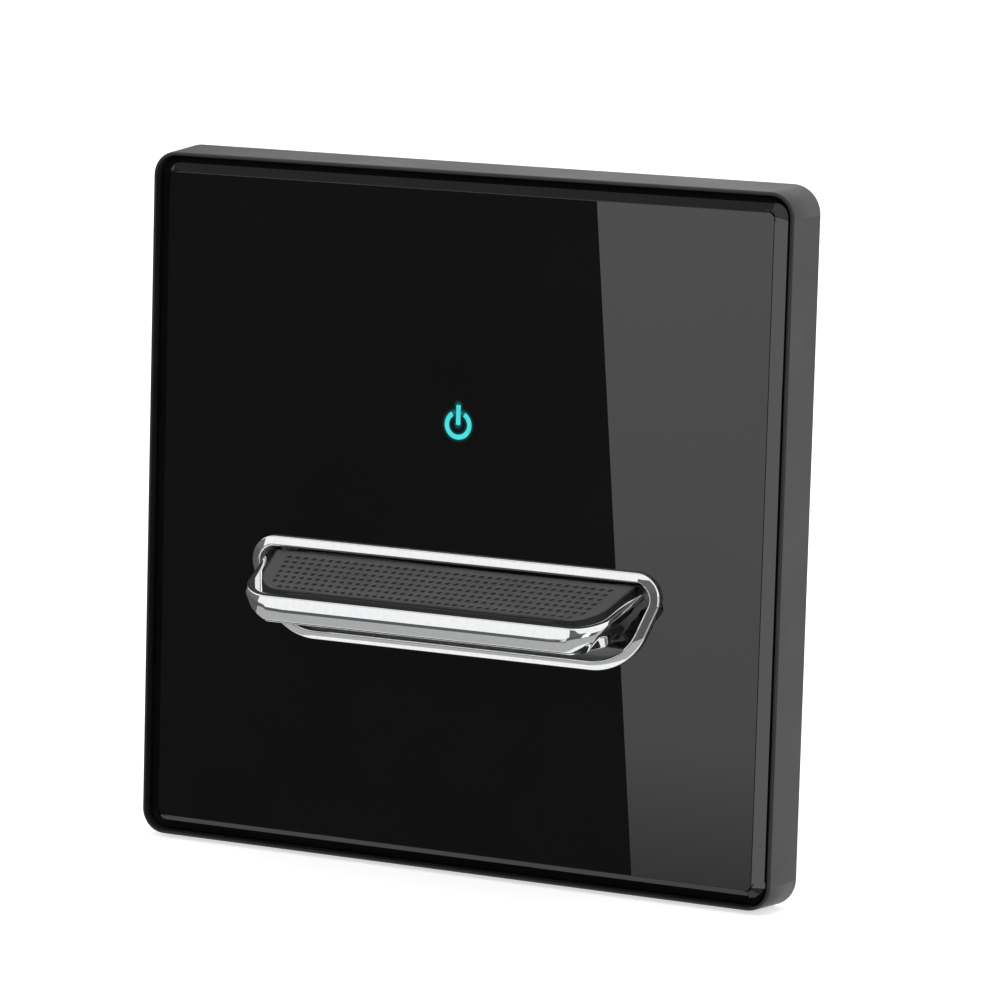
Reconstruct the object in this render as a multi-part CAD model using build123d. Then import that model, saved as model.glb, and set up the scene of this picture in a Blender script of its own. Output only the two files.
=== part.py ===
from build123d import *
import os
from math import asin, atan, cos, degrees, pi, radians, sin

# One-gang wall switch with a bevelled glass face and a sprung chrome key lever.
# X runs to the right, Z up, and Y into the wall. The wall face is Y = 0, so the glass looks
# along -Y and the mechanism stands behind Y = 0, inside the wall box. Lengths are millimetres.

# Clearances
slip = 0.3              # between two pieces that move past each other
seat = 0.1              # around a piece dropped into its seat
running = 0.05          # radial, pin in a turning hub
held = 0.02             # radial, pin or screw held in its hole

# Cover plate: tapered frame, glass, tape
plate_size = 86.0
plate_depth = 6.8
side_draft = 0.54       # how much each side leans in, from the wall to the front
corner_radius = 3.5
lip_width = 0.4
lip_round = 0.3
glass_gap = 0.3
glass_thickness = 2.4
bevel_width = 1.7
bevel_depth = 1.0
tape_thickness = 0.3
tape_width = 7.0
web_thickness = 1.2
skirt_wall = 1.8
rib_height = 1.0
rib_thickness = 1.0
rib_gap = 2.5           # from the module's top and bottom

# Slot in the glass and its chrome bezel
slot_z = -9.55
slot_half_length = 26.2
slot_radius = 5.2
bezel_rim = 1.0
bezel_proud = 0.9
sleeve_wall = 0.6

# Key lever, as it stands at rest
key_reach = 10.5        # from the glass to the nose
key_side_gap = 0.8      # from the slot's ends
key_top_gap = 1.15      # from the slot's top edge, at rest
key_bottom_gap = 2.3    # from the slot's bottom edge, at rest
nose_taper = 1.8        # how much narrower each side is at the nose
nose_height = 3.3
nose_round = 1.2
nose_corner = 4.6
key_press = 9.0         # degrees from rest to fully pressed
pad_thickness = 0.5
pad_margin = 1.3
pad_corner = 3.4
carrier_wall = 2.4
key_screw_radius = 0.95
key_screw_inset = 3.1   # from the carrier's ends
key_screw_bite = 3.0

# Lit power symbol
icon_z = 12.1
icon_ring = 1.5
icon_stroke = 0.56
icon_opening = 38.0     # degrees, half of the gap at the top of the ring
icon_bar = 2.35
guide_flange = 3.4
guide_flange_thickness = 1.0
guide_stem = 2.4

# Module that stands in the wall box
wall = 1.6
cover_gap = 0.5         # between the plate's web and the module's front
module_half_width = 25.0
module_top = 21.0
module_bottom = -27.0
module_corner = 2.4
pivot_depth = 5.0       # from the module's front to the pivot pin
pin_radius = 1.25
hub_wall = 1.4
tail_reach = 6.4
tail_width = 7.0
tail_thickness = 1.5
spring_inset = 6.0      # from the key's screws
spring_radius = 1.9
spring_wire = 0.28
spring_height = 6.0
spring_turns = 3        # open turns, between one closed turn at each end
spring_steps = 10       # straight runs in a turn of the wire
stub_half = 0.75        # square stub inside each spring's top
stub_length = 1.5
stop_depth = 2.0

# Steel yoke that the box screws go through
yoke_thickness = 1.0
yoke_side_gap = 2.2     # inside the plate's skirt, left and right
yoke_end_gap = 3.2      # inside the plate's skirt, above and below
yoke_corner = 4.0
box_screw_spacing = 60.3
box_slot_width = 4.3
box_slot_length = 7.0
hook_x = 24.0
hook_inset = 7.6        # inside the plate's skirt
hook_width = 8.0
hook_thickness = 1.4
hook_barb = 0.7
hook_length = 2.2       # behind the yoke
ear_length = 4.0
ear_thickness = 1.5
ear_half_width = 18.0
stake_half = 1.1
stake_head = 0.6

# Slider and contact rocker
drive_x = 8.0
finger_width = 5.0
finger_thickness = 2.4
finger_arm = 10.8       # from the pivot down to the finger's tip centre
slider_width = 6.0
cheek_thickness = 1.2
cheek_height = 3.0
rocker_half_length = 14.0
rocker_height = 6.0
rocker_thickness = 1.0
rocker_pin_radius = 0.8
rocker_hub_radius = 1.7
peg_radius = 0.8
peg_length = 2.6
contact_x = 12.0
contact_radius = 1.6
contact_thickness = 0.7
contact_gap = 0.15
strip_thickness = 0.8
strip_width = 6.0

# Terminals
terminal_x = 13.0
terminal_z = 11.5
terminal_width = 6.6
terminal_height = 7.6
terminal_depth = 9.0
wire_radius = 1.9
wire_depth = 7.4
terminal_edge = 0.5
window_half = 2.7       # wire and screwdriver windows in the rear housing
window_funnel = 0.8
shelf_gap = 1.0         # between the strips and the terminals' shelves
terminal_screw_radius = 1.25
terminal_screw_head = 2.3
terminal_screw_head_height = 1.8
terminal_screw_standoff = 1.6

# Housing screws and indicator board
case_screw_radius = 1.2
case_screw_head = 2.2
case_screw_head_height = 1.4
case_boss = 2.5
case_screw_inset = 3.8
case_screw_bite = 5.0
case_edge = 0.8
board_height = 13.0
board_thickness = 1.2
board_standoff = 4.2
board_screw_inset = 2.2
board_post = 1.7
board_screw_radius = 0.8
led_radius = 1.5
led_flange = 1.9
led_flange_height = 1.0
led_edge = 0.4
resistor_x = 6.5
resistor_length = 4.5
resistor_width = 3.2
resistor_thickness = 0.6
resistor_cap = 0.6
resistor_cap_rise = 0.1
board_pin_inset = 1.5   # from the middle of the line strip
board_pin_z = 8.6
board_pin_radius = 0.6

# Levels along Y, from the glass to the back of the module
front_y = -plate_depth
glass_back_y = front_y + glass_thickness
web_front_y = glass_back_y + tape_thickness
web_back_y = web_front_y + web_thickness
module_front_y = web_back_y + cover_gap
front_wall_y = module_front_y + wall
pivot_y = module_front_y + pivot_depth
partition_y = pivot_y + tail_reach + slip
case_y = partition_y + wall
key_back_y = web_back_y - 2 * slip

# Widths that follow from the slot, the module and the plate
carrier_half = module_half_width - wall - slip
key_screw_x = carrier_half - key_screw_inset
spring_x = key_screw_x - spring_inset
key_root_half = slot_half_length - key_side_gap
nose_half = key_root_half - nose_taper
key_root_height = 2 * slot_radius - key_top_gap - key_bottom_gap
skirt_half = plate_size / 2 - skirt_wall
yoke_half_width = skirt_half - yoke_side_gap
yoke_half_height = skirt_half - yoke_end_gap
hook_z = skirt_half - hook_inset
board_half_width = module_half_width - case_screw_inset - case_boss - slip
board_screw_x = board_half_width - board_screw_inset
board_pin_x = terminal_x - board_pin_inset

# Places along Z
key_z = slot_z + (key_bottom_gap - key_top_gap) / 2
tail_top_z = key_z + pin_radius + hub_wall / 2
roof_z = tail_top_z + spring_height
floor_z = module_bottom + wall
finger_tip_z = key_z - finger_arm
slider_bottom_z = floor_z + slip
slider_top_z = finger_tip_z - finger_thickness / 2 - slip
rocker_bottom_z = slider_top_z + slip
rocker_z = rocker_bottom_z + rocker_height / 2
rocker_top_z = rocker_bottom_z + rocker_height

# Travel that the key's press gives to the slider and to the rocker
slider_travel = finger_arm * radians(key_press)
rocker_rest = degrees(asin(slider_travel / (2 * drive_x)))
rocker_throw = 2 * rocker_rest
rocker_y = case_y + slip + rocker_half_length * sin(radians(rocker_rest)) + rocker_thickness / 2
tip_face_y = rocker_y + contact_x * sin(radians(rocker_rest))
tip_face_y += (rocker_thickness / 2 + contact_thickness) * cos(radians(rocker_rest))
tip_face_y += contact_radius * sin(radians(rocker_rest)) + contact_gap
strip_y = tip_face_y + contact_thickness
block_y = strip_y + strip_thickness
back_wall_y = block_y + terminal_depth + slip
module_back_y = back_wall_y + wall


def block(x, y, z):
    """A box between two values on each axis, given as (low, high) pairs."""
    centre = [(low + high) / 2 for low, high in (x, y, z)]
    return Pos(*centre) * Box(*[high - low for low, high in (x, y, z)])


def slab(sketch, y_back, y_front):
    """A flat drawing in X and Z, as a solid from y_back forward to y_front."""
    return extrude(Plane.XZ.offset(-y_back) * sketch, y_back - y_front)


def along_x(sketch, x_from, x_to):
    """A flat drawing in Y and Z, as a solid between two places on X."""
    return extrude(Plane.YZ.offset(x_from) * sketch, x_to - x_from)


def rod_x(y, z, radius, x_from, x_to):
    """A round bar along X."""
    return Pos((x_from + x_to) / 2, y, z) * Rot(0, 90, 0) * Cylinder(radius, x_to - x_from)


def rod_y(x, z, radius, y_from, y_to):
    """A round bar along Y."""
    return Pos(x, (y_from + y_to) / 2, z) * Rot(90, 0, 0) * Cylinder(radius, y_to - y_from)


def rod_z(x, y, radius, z_from, z_to):
    """A round bar along Z."""
    return Pos(x, y, (z_from + z_to) / 2) * Cylinder(radius, z_to - z_from)


def obround(half_length, radius, z=slot_z):
    """The drawing of a slot with round ends."""
    return Pos(0, z) * SlotOverall(2 * half_length, 2 * radius)


def on_both_sides(solid):
    """A solid and its mirror image across the centre plane."""
    return [solid, mirror(solid, Plane.YZ)]


def case_screw_places():
    """X and Z of the two screws, on the diagonal, that hold the module together."""
    x = module_half_width - case_screw_inset
    return [(-x, module_bottom + case_screw_inset), (x, module_top - case_screw_inset)]


def case_bosses(y_from, y_to):
    """Square bosses that fill the module's corners round the case screws."""
    return [block((x - case_boss, x + case_boss), (y_from, y_to), (z - case_boss, z + case_boss))
            for x, z in case_screw_places()]


def hook_places():
    """X and the up or down side of the plate's four snap hooks."""
    return [(x, side) for x in (-hook_x, hook_x) for side in (-1, 1)]


def power_symbol(growth=0.0):
    """The drawing of the power symbol: a ring open at the top and a bar."""
    half_stroke = icon_stroke / 2 + growth
    reach = 2 * icon_ring
    side = reach * sin(radians(icon_opening))
    gap = Polygon((0, 0), (side, reach), (-side, reach), align=None)
    ring = Circle(icon_ring + half_stroke) - Circle(icon_ring - half_stroke) - gap
    bar = Pos(0, icon_bar / 2) * Rectangle(2 * half_stroke, icon_bar + 2 * growth)
    return Pos(0, icon_z) * (ring + bar)


def pocket_half():
    """Half the width of the pocket that the glass lies in."""
    return plate_size / 2 - side_draft - lip_width


def glass_half():
    """Half the width of the glass."""
    return pocket_half() - glass_gap


def front_corner():
    """Corner radius of the frame's front outline."""
    return corner_radius - side_draft


def make_panel_frame():
    """Moulded frame: tapered sides, front lip, web behind the glass, ribs and snap hooks."""
    outline = RectangleRounded(plate_size, plate_size, corner_radius)
    draft = degrees(atan(side_draft / plate_depth))
    frame = extrude(Plane.XZ * outline, plate_depth, taper=draft)
    frame = fillet(frame.faces().sort_by(Axis.Y)[0].edges(), lip_round)
    pocket = RectangleRounded(2 * pocket_half(), 2 * pocket_half(), front_corner() - lip_width)
    frame -= slab(pocket, web_front_y, front_y)
    frame -= slab(RectangleRounded(2 * skirt_half, 2 * skirt_half, skirt_wall), 0, web_back_y)
    for z in (module_bottom - rib_gap - rib_thickness, module_top + rib_gap):
        frame += block((-skirt_half, skirt_half), (web_back_y, web_back_y + rib_height),
                       (z, z + rib_thickness))
    sleeve = obround(slot_half_length + sleeve_wall + seat, slot_radius + sleeve_wall + seat)
    frame -= slab(sleeve, web_back_y, web_front_y)
    frame -= rod_y(0, icon_z, guide_stem + seat, web_front_y, web_back_y)
    frame -= rod_y(0, icon_z, guide_flange + seat, web_front_y,
                   glass_back_y + guide_flange_thickness)
    for x, side in hook_places():
        across = (x - hook_width / 2, x + hook_width / 2)
        root = side * hook_z
        tip = side * (hook_z + hook_thickness)
        barb = side * (hook_z + hook_thickness + hook_barb)
        frame += block(across, (web_back_y, hook_length), tuple(sorted((root, tip))))
        profile = Polygon((slip, tip), (slip, barb), (hook_length, tip), align=None)
        middle = Plane(origin=(x, 0, 0), x_dir=(0, 1, 0), z_dir=(1, 0, 0))
        frame += extrude(middle * profile, hook_width / 2, both=True)
    return frame


def make_glass_panel():
    """Tempered glass with a wide ground bevel, the key's slot and the symbol's window."""
    corner = front_corner() - lip_width - glass_gap
    side = 2 * glass_half()
    outline = RectangleRounded(side, side, corner)
    glass = slab(outline, glass_back_y, front_y + bevel_depth)
    slope = degrees(atan(bevel_width / bevel_depth))
    glass += extrude(Plane.XZ.offset(plate_depth - bevel_depth) * outline, bevel_depth, taper=slope)
    glass -= slab(obround(slot_half_length + sleeve_wall + seat, slot_radius + sleeve_wall + seat),
                  glass_back_y, front_y)
    return glass - slab(power_symbol(held), glass_back_y, front_y)


def make_glass_tape():
    """Double-sided foam tape between the glass and the frame's web."""
    outer = 2 * (pocket_half() - glass_gap - seat)
    inner = outer - 2 * tape_width
    ring = RectangleRounded(outer, outer, front_corner() - lip_width - glass_gap)
    return slab(ring - RectangleRounded(inner, inner, lip_width), web_front_y, glass_back_y)


def make_lever_bezel():
    """Chrome rim round the slot, with a sleeve that goes down through glass and web."""
    rim = slab(obround(slot_half_length + bezel_rim, slot_radius + bezel_rim),
               front_y, front_y - bezel_proud)
    rim = chamfer(rim.faces().sort_by(Axis.Y)[0].edges(), bezel_rim / 3)
    sleeve = slab(obround(slot_half_length + sleeve_wall, slot_radius + sleeve_wall),
                  web_back_y, front_y)
    bezel = rim + sleeve - slab(obround(slot_half_length, slot_radius), web_back_y,
                                front_y - bezel_proud)
    inner_edge = bezel.faces().sort_by(Axis.Y)[0].inner_wires()[0].edges()
    return chamfer(inner_edge, bezel_rim / 4)


def key_plan(margin, corner):
    """The key's outline from above: straight in the slot, tapered outside, round corners."""
    taper = (key_root_half - nose_half) / key_reach
    back = front_y - key_back_y
    front = front_y - key_reach + margin
    front_half = key_root_half - taper * (key_reach - margin) - margin
    root_half = key_root_half - margin
    corners = [(-root_half, key_back_y), (root_half, key_back_y), (root_half, front_y),
               (front_half, front), (-front_half, front), (-root_half, front_y)]
    outline = make_face(Polyline(*corners, close=True))
    nose = outline.vertices().group_by(Axis.Y)[0]
    return Pos(0, 0, key_z - plate_size / 2) * extrude(fillet(nose, corner), plate_size)


def key_profile(lift=0.0):
    """The key seen from its end: sloping top, flat underside and a rounded nose."""
    bottom = key_z - key_root_height / 2 + lift
    nose_y = front_y - key_reach
    corners = [(key_back_y, bottom), (key_back_y, bottom + key_root_height),
               (front_y, bottom + key_root_height), (nose_y, bottom + nose_height),
               (nose_y, bottom)]
    outline = make_face(Polyline(*corners, close=True))
    outline = fillet(outline.vertices().group_by(Axis.X)[0], nose_round)
    return along_x(outline, -key_root_half, key_root_half)


def key_blank(lift=0.0):
    """The key's form: the slot's rounded section along its whole length, cut to the profile."""
    section = Pos(0, key_z + lift) * SlotOverall(2 * key_root_half, key_root_height)
    return slab(section, key_back_y, front_y - key_reach) & key_profile(lift)


def make_key_body():
    """Die-cast, chromed key with two screw holes in its back."""
    key = key_blank() & key_plan(0, nose_corner)
    for hole in on_both_sides(rod_y(key_screw_x, key_z, key_screw_radius + held,
                                    key_back_y - key_screw_bite, key_back_y)):
        key -= hole
    return key


def make_key_pad():
    """Soft pad on the key's sloping top, curved down a little at both ends."""
    skin = key_blank(pad_thickness) & key_plan(pad_margin, pad_corner)
    behind = block((-plate_size, plate_size), (front_y + pad_margin, 0), (-plate_size, plate_size))
    below = block((-plate_size, plate_size), (-plate_size, 0), (-plate_size, key_z))
    pad = skin - key_blank() - behind - below
    return pad.solids().sort_by(SortBy.VOLUME)[-1]


def make_key_carrier():
    """Moulded carrier behind the key: plate, pivot hubs, spring tails and drive finger."""
    half_height = key_root_height / 2
    carrier = block((-carrier_half, carrier_half), (key_back_y, key_back_y + carrier_wall),
                    (key_z - half_height, key_z + half_height))
    hub = Pos(pivot_y, key_z) * Circle(pin_radius + running + hub_wall)
    arm_length = pivot_y - key_back_y
    arm = Pos(pivot_y - arm_length / 2, key_z) * Rectangle(arm_length, 2 * pin_radius)
    for low, high in hub_spans():
        carrier += along_x(hub + arm, low, high)
    finger = Pos(pivot_y, key_z - finger_arm / 2) * Rot(0, 0, 90)
    finger = finger * SlotCenterToCenter(finger_arm, finger_thickness)
    carrier += along_x(finger, drive_x - finger_width / 2, drive_x + finger_width / 2)
    tail = block((spring_x - tail_width / 2, spring_x + tail_width / 2),
                 (pivot_y, pivot_y + tail_reach), (tail_top_z - tail_thickness, tail_top_z))
    for part in on_both_sides(tail):
        carrier += part
    carrier -= rod_x(pivot_y, key_z, pin_radius + running, -carrier_half, carrier_half)
    hole = rod_y(key_screw_x, key_z, key_screw_radius + held, key_back_y, pivot_y)
    reach = 2 * key_screw_radius + seat
    access = block((key_screw_x - reach, key_screw_x + reach),
                   (key_back_y + carrier_wall, pivot_y + tail_reach),
                   (key_z - half_height, key_z + half_height))
    for cut in on_both_sides(hole) + on_both_sides(access):
        carrier -= cut
    return carrier


def hub_spans():
    """X ranges of the pivot hubs: at the left under the spring, at the right up to the finger."""
    return [(-carrier_half, -spring_x + tail_width / 2),
            (drive_x - finger_width / 2, carrier_half)]


def make_key_screws():
    """Two screws from the carrier's back into the key."""
    head_y = key_back_y + carrier_wall
    shank = rod_y(key_screw_x, key_z, key_screw_radius,
                  key_back_y - key_screw_bite + seat, head_y)
    head = rod_y(key_screw_x, key_z, 2 * key_screw_radius, head_y, head_y + key_screw_radius)
    return Compound(on_both_sides(shank + head))


def make_pivot_pin():
    """Steel pin that the key turns on, held in the module's side walls."""
    end = module_half_width - seat
    return rod_x(pivot_y, key_z, pin_radius, -end, end)


def make_return_spring():
    """Right-hand compression spring between the carrier's tail and the module's roof."""
    height = spring_height - 2 * (spring_wire + seat)
    closed_rise = 2 * spring_wire + seat
    open_rise = (height - 2 * closed_rise) / spring_turns
    rises = [closed_rise] + [open_rise] * spring_turns + [closed_rise]
    radius = spring_radius - spring_wire
    z = 0
    points = [(radius, 0, 0)]
    for rise in rises:
        for step in range(1, spring_steps + 1):
            angle = 2 * pi * step / spring_steps
            z += rise / spring_steps
            points.append((radius * cos(angle), radius * sin(angle), z))
    path = Polyline(*points)
    section = Plane(origin=path @ 0, z_dir=path % 0) * RegularPolygon(spring_wire, 6)
    wire = sweep(section, path=path, transition=Transition.RIGHT)
    return Pos(spring_x, spring_y(), tail_top_z + spring_wire + seat) * wire


def spring_y():
    """Y of the return springs, over the ends of the carrier's tails."""
    return pivot_y + tail_reach - slip - spring_radius


def module_outline(growth=0.0):
    """The module's outline seen from the front, grown or shrunk all round."""
    height = module_top - module_bottom + 2 * growth
    centre = (module_top + module_bottom) / 2
    width = 2 * (module_half_width + growth)
    return Pos(0, centre) * RectangleRounded(width, height, module_corner + growth)


def make_module_base():
    """Moulded front half: key window, roof over the springs, guides, bosses and ears."""
    inner_x = (wall - module_half_width, module_half_width - wall)
    base = slab(module_outline(), partition_y, module_front_y)
    base -= slab(module_outline(-wall), partition_y, front_wall_y)
    half_height = key_root_height / 2 + slip
    swing = (pivot_y - key_back_y) * sin(radians(key_press))
    base -= block(inner_x, (module_front_y, front_wall_y),
                  (key_z - half_height - swing, key_z + half_height))
    base += block(inner_x, (front_wall_y, partition_y), (roof_z, roof_z + wall))
    stub = block((spring_x - stub_half, spring_x + stub_half),
                 (spring_y() - stub_half, spring_y() + stub_half), (roof_z - stub_length, roof_z))
    for part in on_both_sides(stub):
        base += part
    for side in (-1, 1):
        inner = drive_x + side * (slider_width / 2 + seat)
        rib = tuple(sorted((inner, inner + side * rib_thickness)))
        base += block(rib, (front_wall_y, partition_y), (floor_z, slider_top_z))
    base += block((drive_x - slider_width / 2, drive_x + slider_width / 2),
                  (front_wall_y, partition_y), (floor_z, floor_z + seat))
    for boss in case_bosses(front_wall_y, partition_y):
        base += boss
    post = block((board_screw_x - board_post, board_screw_x + board_post),
                 (front_wall_y, front_wall_y + board_standoff),
                 (icon_z - board_post, icon_z + board_post))
    for part in on_both_sides(post):
        base += part
    ears = [(module_top - wall, module_top + ear_length),
            (module_bottom - ear_length, module_bottom + wall)]
    for z in ears:
        base += block((-ear_half_width, ear_half_width), (0, ear_thickness), z)
    for x, z in stake_places():
        head_half = stake_half + stake_head
        base += block((x - stake_half, x + stake_half), (-yoke_thickness, 0),
                      (z - stake_half, z + stake_half))
        head = block((x - head_half, x + head_half),
                     (-yoke_thickness - stake_head, -yoke_thickness),
                     (z - head_half, z + head_half))
        base += chamfer(head.faces().sort_by(Axis.Y)[0].edges(), stake_head / 2)
    base -= rod_x(pivot_y, key_z, pin_radius + held, -module_half_width, module_half_width)
    base -= rod_y(0, icon_z, led_radius + slip, module_front_y, front_wall_y)
    for x, z in case_screw_places():
        base -= rod_y(x, z, case_screw_radius + held, partition_y - case_screw_bite - seat,
                      partition_y)
    for hole in on_both_sides(rod_y(board_screw_x, icon_z, board_screw_radius + held,
                                    front_wall_y, front_wall_y + board_standoff)):
        base -= hole
    return base


def stake_places():
    """X and Z of the four plastic stakes that hold the yoke on the base."""
    x = ear_half_width - 2 * stake_half
    return [(side * x, z) for side in (-1, 1)
            for z in (module_top + ear_length / 2, module_bottom - ear_length / 2)]


def make_partition():
    """Insulating plate between key and contacts, with the tails' stops."""
    plate = slab(module_outline(), case_y, partition_y)
    stop_top = tail_top_z - tail_thickness - slip
    stop = block((spring_x - tail_width / 2, spring_x + tail_width / 2),
                 (partition_y - stop_depth, partition_y), (stop_top - wall, stop_top))
    for rib in on_both_sides(stop):
        plate += rib
    plate -= block((drive_x - slider_width / 2 - seat, drive_x + slider_width / 2 + seat),
                   (partition_y, case_y), (floor_z, slider_top_z + slip))
    for hole in on_both_sides(rod_y(board_pin_x, board_pin_z, board_pin_radius + seat,
                                    partition_y, case_y)):
        plate -= hole
    for x, z in case_screw_places():
        plate -= rod_y(x, z, case_screw_radius + seat, partition_y, case_y)
    return plate


def terminal_places():
    """X of the three terminals."""
    return (-terminal_x, 0, terminal_x)


def make_rear_housing():
    """Moulded rear half: wire windows at the back, screwdriver windows on top, terminal seats."""
    case = slab(module_outline(), module_back_y, case_y)
    case = chamfer(case.faces().sort_by(Axis.Y)[-1].edges(), case_edge)
    case -= slab(module_outline(-wall), back_wall_y, case_y)
    for boss in case_bosses(case_y, back_wall_y):
        case += boss
    shelf_top = terminal_z - terminal_height / 2
    screw_y = terminal_screw_y()
    for x in terminal_places():
        half = terminal_width / 2
        case += block((x - half, x + half), (block_y + shelf_gap, back_wall_y),
                      (shelf_top - wall, shelf_top))
        window = Pos(x, terminal_z) * Rectangle(2 * window_half, 2 * window_half)
        case -= slab(window, module_back_y, back_wall_y)
        mouth = Pos(x, terminal_z) * Rectangle(2 * (window_half + window_funnel),
                                               2 * (window_half + window_funnel))
        case -= extrude(Plane.XZ.offset(-module_back_y) * mouth, window_funnel, taper=45)
        case -= block((x - window_half, x + window_half),
                      (screw_y - window_half, screw_y + window_half),
                      (module_top - wall, module_top))
    for x in (-terminal_x / 2, terminal_x / 2):
        case += block((x - rib_thickness / 2, x + rib_thickness / 2),
                      (block_y, back_wall_y), (rocker_z + rocker_height, module_top - wall))
    for x, z in case_screw_places():
        case -= rod_y(x, z, case_screw_radius + seat, case_y, module_back_y)
        case -= rod_y(x, z, case_screw_head + seat, module_back_y - case_screw_head_height,
                      module_back_y)
    return case


def make_case_screws():
    """Long screws that hold base, partition and rear housing together."""
    screws = []
    for x, z in case_screw_places():
        head_y = module_back_y - case_screw_head_height
        shank = rod_y(x, z, case_screw_radius, partition_y - case_screw_bite, head_y)
        screws.append(shank + rod_y(x, z, case_screw_head, head_y, module_back_y))
    return Compound(screws)


def make_mounting_yoke():
    """Pressed steel yoke: module opening, two box-screw slots and four hook windows."""
    yoke = RectangleRounded(2 * yoke_half_width, 2 * yoke_half_height, yoke_corner)
    yoke -= module_outline(seat)
    for side in (-1, 1):
        yoke -= Pos(side * box_screw_spacing / 2, 0) * SlotOverall(box_slot_length, box_slot_width)
    for x, side in hook_places():
        window = hook_thickness + hook_barb + 2 * slip
        middle = side * (hook_z - slip + window / 2)
        yoke -= Pos(x, middle) * Rectangle(hook_width + 2 * slip, window)
    for x, z in stake_places():
        yoke -= Pos(x, z) * Rectangle(2 * (stake_half + held), 2 * (stake_half + held))
    return slab(yoke, 0, -yoke_thickness)


def make_slider():
    """Sliding bar that carries the key's press through the partition to the rocker."""
    x = (drive_x - slider_width / 2, drive_x + slider_width / 2)
    half_slot = finger_thickness / 2 + slip
    front = pivot_y - half_slot - cheek_thickness
    peg_y = rocker_y - slider_travel / 2
    half_fork = peg_radius + slip
    back = peg_y + half_fork + cheek_thickness
    bar = block(x, (front, back), (slider_bottom_z, slider_top_z))
    for y in (front, pivot_y + half_slot):
        bar += block(x, (y, y + cheek_thickness), (slider_top_z, slider_top_z + cheek_height))
    return bar - block(x, (peg_y - half_fork, peg_y + half_fork),
                       (rocker_bottom_z - peg_length - slip, slider_top_z))


def at_rocker_rest(solid):
    """Turns a rocker piece from square to its rest position on the rocker's pin."""
    return Pos(0, rocker_y, 0) * Rot(0, 0, -rocker_rest) * Pos(0, -rocker_y, 0) * solid


def make_contact_rocker():
    """Copper rocker on its pin, with the peg that the slider's fork drives."""
    half = rocker_thickness / 2
    top = rocker_top_z
    blade = block((-rocker_half_length, rocker_half_length), (rocker_y - half, rocker_y + half),
                  (rocker_bottom_z, top))
    hub = rod_z(0, rocker_y, rocker_hub_radius, rocker_bottom_z, top)
    peg = rod_z(drive_x, rocker_y, peg_radius, rocker_bottom_z - peg_length, rocker_z)
    rocker = blade + hub + peg
    rocker -= rod_z(0, rocker_y, rocker_pin_radius + running, rocker_bottom_z, top)
    return at_rocker_rest(rocker)


def make_rocker_tips():
    """Silver contacts riveted to both ends of the rocker."""
    face = rocker_y + rocker_thickness / 2
    tip = rod_y(contact_x, rocker_z, contact_radius, face, face + contact_thickness)
    return Compound([at_rocker_rest(solid) for solid in on_both_sides(tip)])


def make_rocker_pin():
    """Pin that the rocker tilts on."""
    reach = rocker_height / 2 + slip + strip_thickness
    return rod_z(0, rocker_y, rocker_pin_radius, rocker_z - reach, rocker_z + reach)


def make_line_strip():
    """Brass strip from a fixed contact up to its terminal."""
    return block((terminal_x - strip_width / 2, terminal_x + strip_width / 2),
                 (strip_y, block_y), (rocker_bottom_z, terminal_z + terminal_height / 2))


def make_common_strip():
    """Brass strip with two ears that hold the rocker's pin."""
    half = strip_width / 2
    low = rocker_bottom_z - slip - strip_thickness
    high = rocker_top_z + slip
    strip = block((-half, half), (strip_y, block_y), (low, terminal_z + terminal_height / 2))
    for z in (low, high):
        ear = block((-rocker_hub_radius, rocker_hub_radius), (rocker_y, block_y),
                    (z, z + strip_thickness))
        ear += rod_z(0, rocker_y, rocker_hub_radius, z, z + strip_thickness)
        strip += ear
        strip -= rod_z(0, rocker_y, rocker_pin_radius + held, z, z + strip_thickness)
    return strip


def make_fixed_tips():
    """Silver contacts on the two line strips."""
    tip = rod_y(contact_x, rocker_z, contact_radius, tip_face_y, strip_y)
    return Compound(on_both_sides(tip))


def terminal_screw_y():
    """Y of the clamping screws, half way along the wire's hole."""
    return block_y + terminal_depth - wire_depth / 2


def make_terminal(x):
    """Brass terminal block with a blind wire hole and a tapped hole across it."""
    half = terminal_width / 2
    z = (terminal_z - terminal_height / 2, terminal_z + terminal_height / 2)
    back = block_y + terminal_depth
    brass = block((x - half, x + half), (block_y, back), z)
    brass = chamfer(brass.edges().filter_by(Axis.Y), terminal_edge)
    brass -= rod_y(x, terminal_z, wire_radius, back - wire_depth, back)
    return brass - rod_z(x, terminal_screw_y(), terminal_screw_radius + held, terminal_z, z[1])


def make_terminal_screws():
    """Three clamping screws, backed off as delivered."""
    screws = []
    top = terminal_z + terminal_height / 2
    head_z = top + terminal_screw_standoff
    for x in terminal_places():
        shank = rod_z(x, terminal_screw_y(), terminal_screw_radius,
                      terminal_z + wire_radius + seat, head_z)
        head = rod_z(x, terminal_screw_y(), terminal_screw_head, head_z,
                     head_z + terminal_screw_head_height)
        screws.append(shank + head)
    return Compound(screws)


def board_front_y():
    """Front face of the indicator's circuit board."""
    return front_wall_y + board_standoff


def make_indicator_board():
    """Small circuit board that carries the light."""
    z = (icon_z - board_height / 2, icon_z + board_height / 2)
    back = board_front_y() + board_thickness
    board = block((-board_half_width, board_half_width), (board_front_y(), back), z)
    for hole in on_both_sides(rod_y(board_screw_x, icon_z, board_screw_radius + seat,
                                    board_front_y(), back)):
        board -= hole
    for hole in on_both_sides(rod_y(board_pin_x, board_pin_z, board_pin_radius + held,
                                    board_front_y(), back)):
        board -= hole
    return board


def make_board_screws():
    """Two screws that hold the board on its posts."""
    back = board_front_y() + board_thickness
    shank = rod_y(board_screw_x, icon_z, board_screw_radius, front_wall_y + seat, back)
    head = rod_y(board_screw_x, icon_z, 2 * board_screw_radius, back, back + board_screw_radius)
    return Compound(on_both_sides(shank + head))


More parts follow.
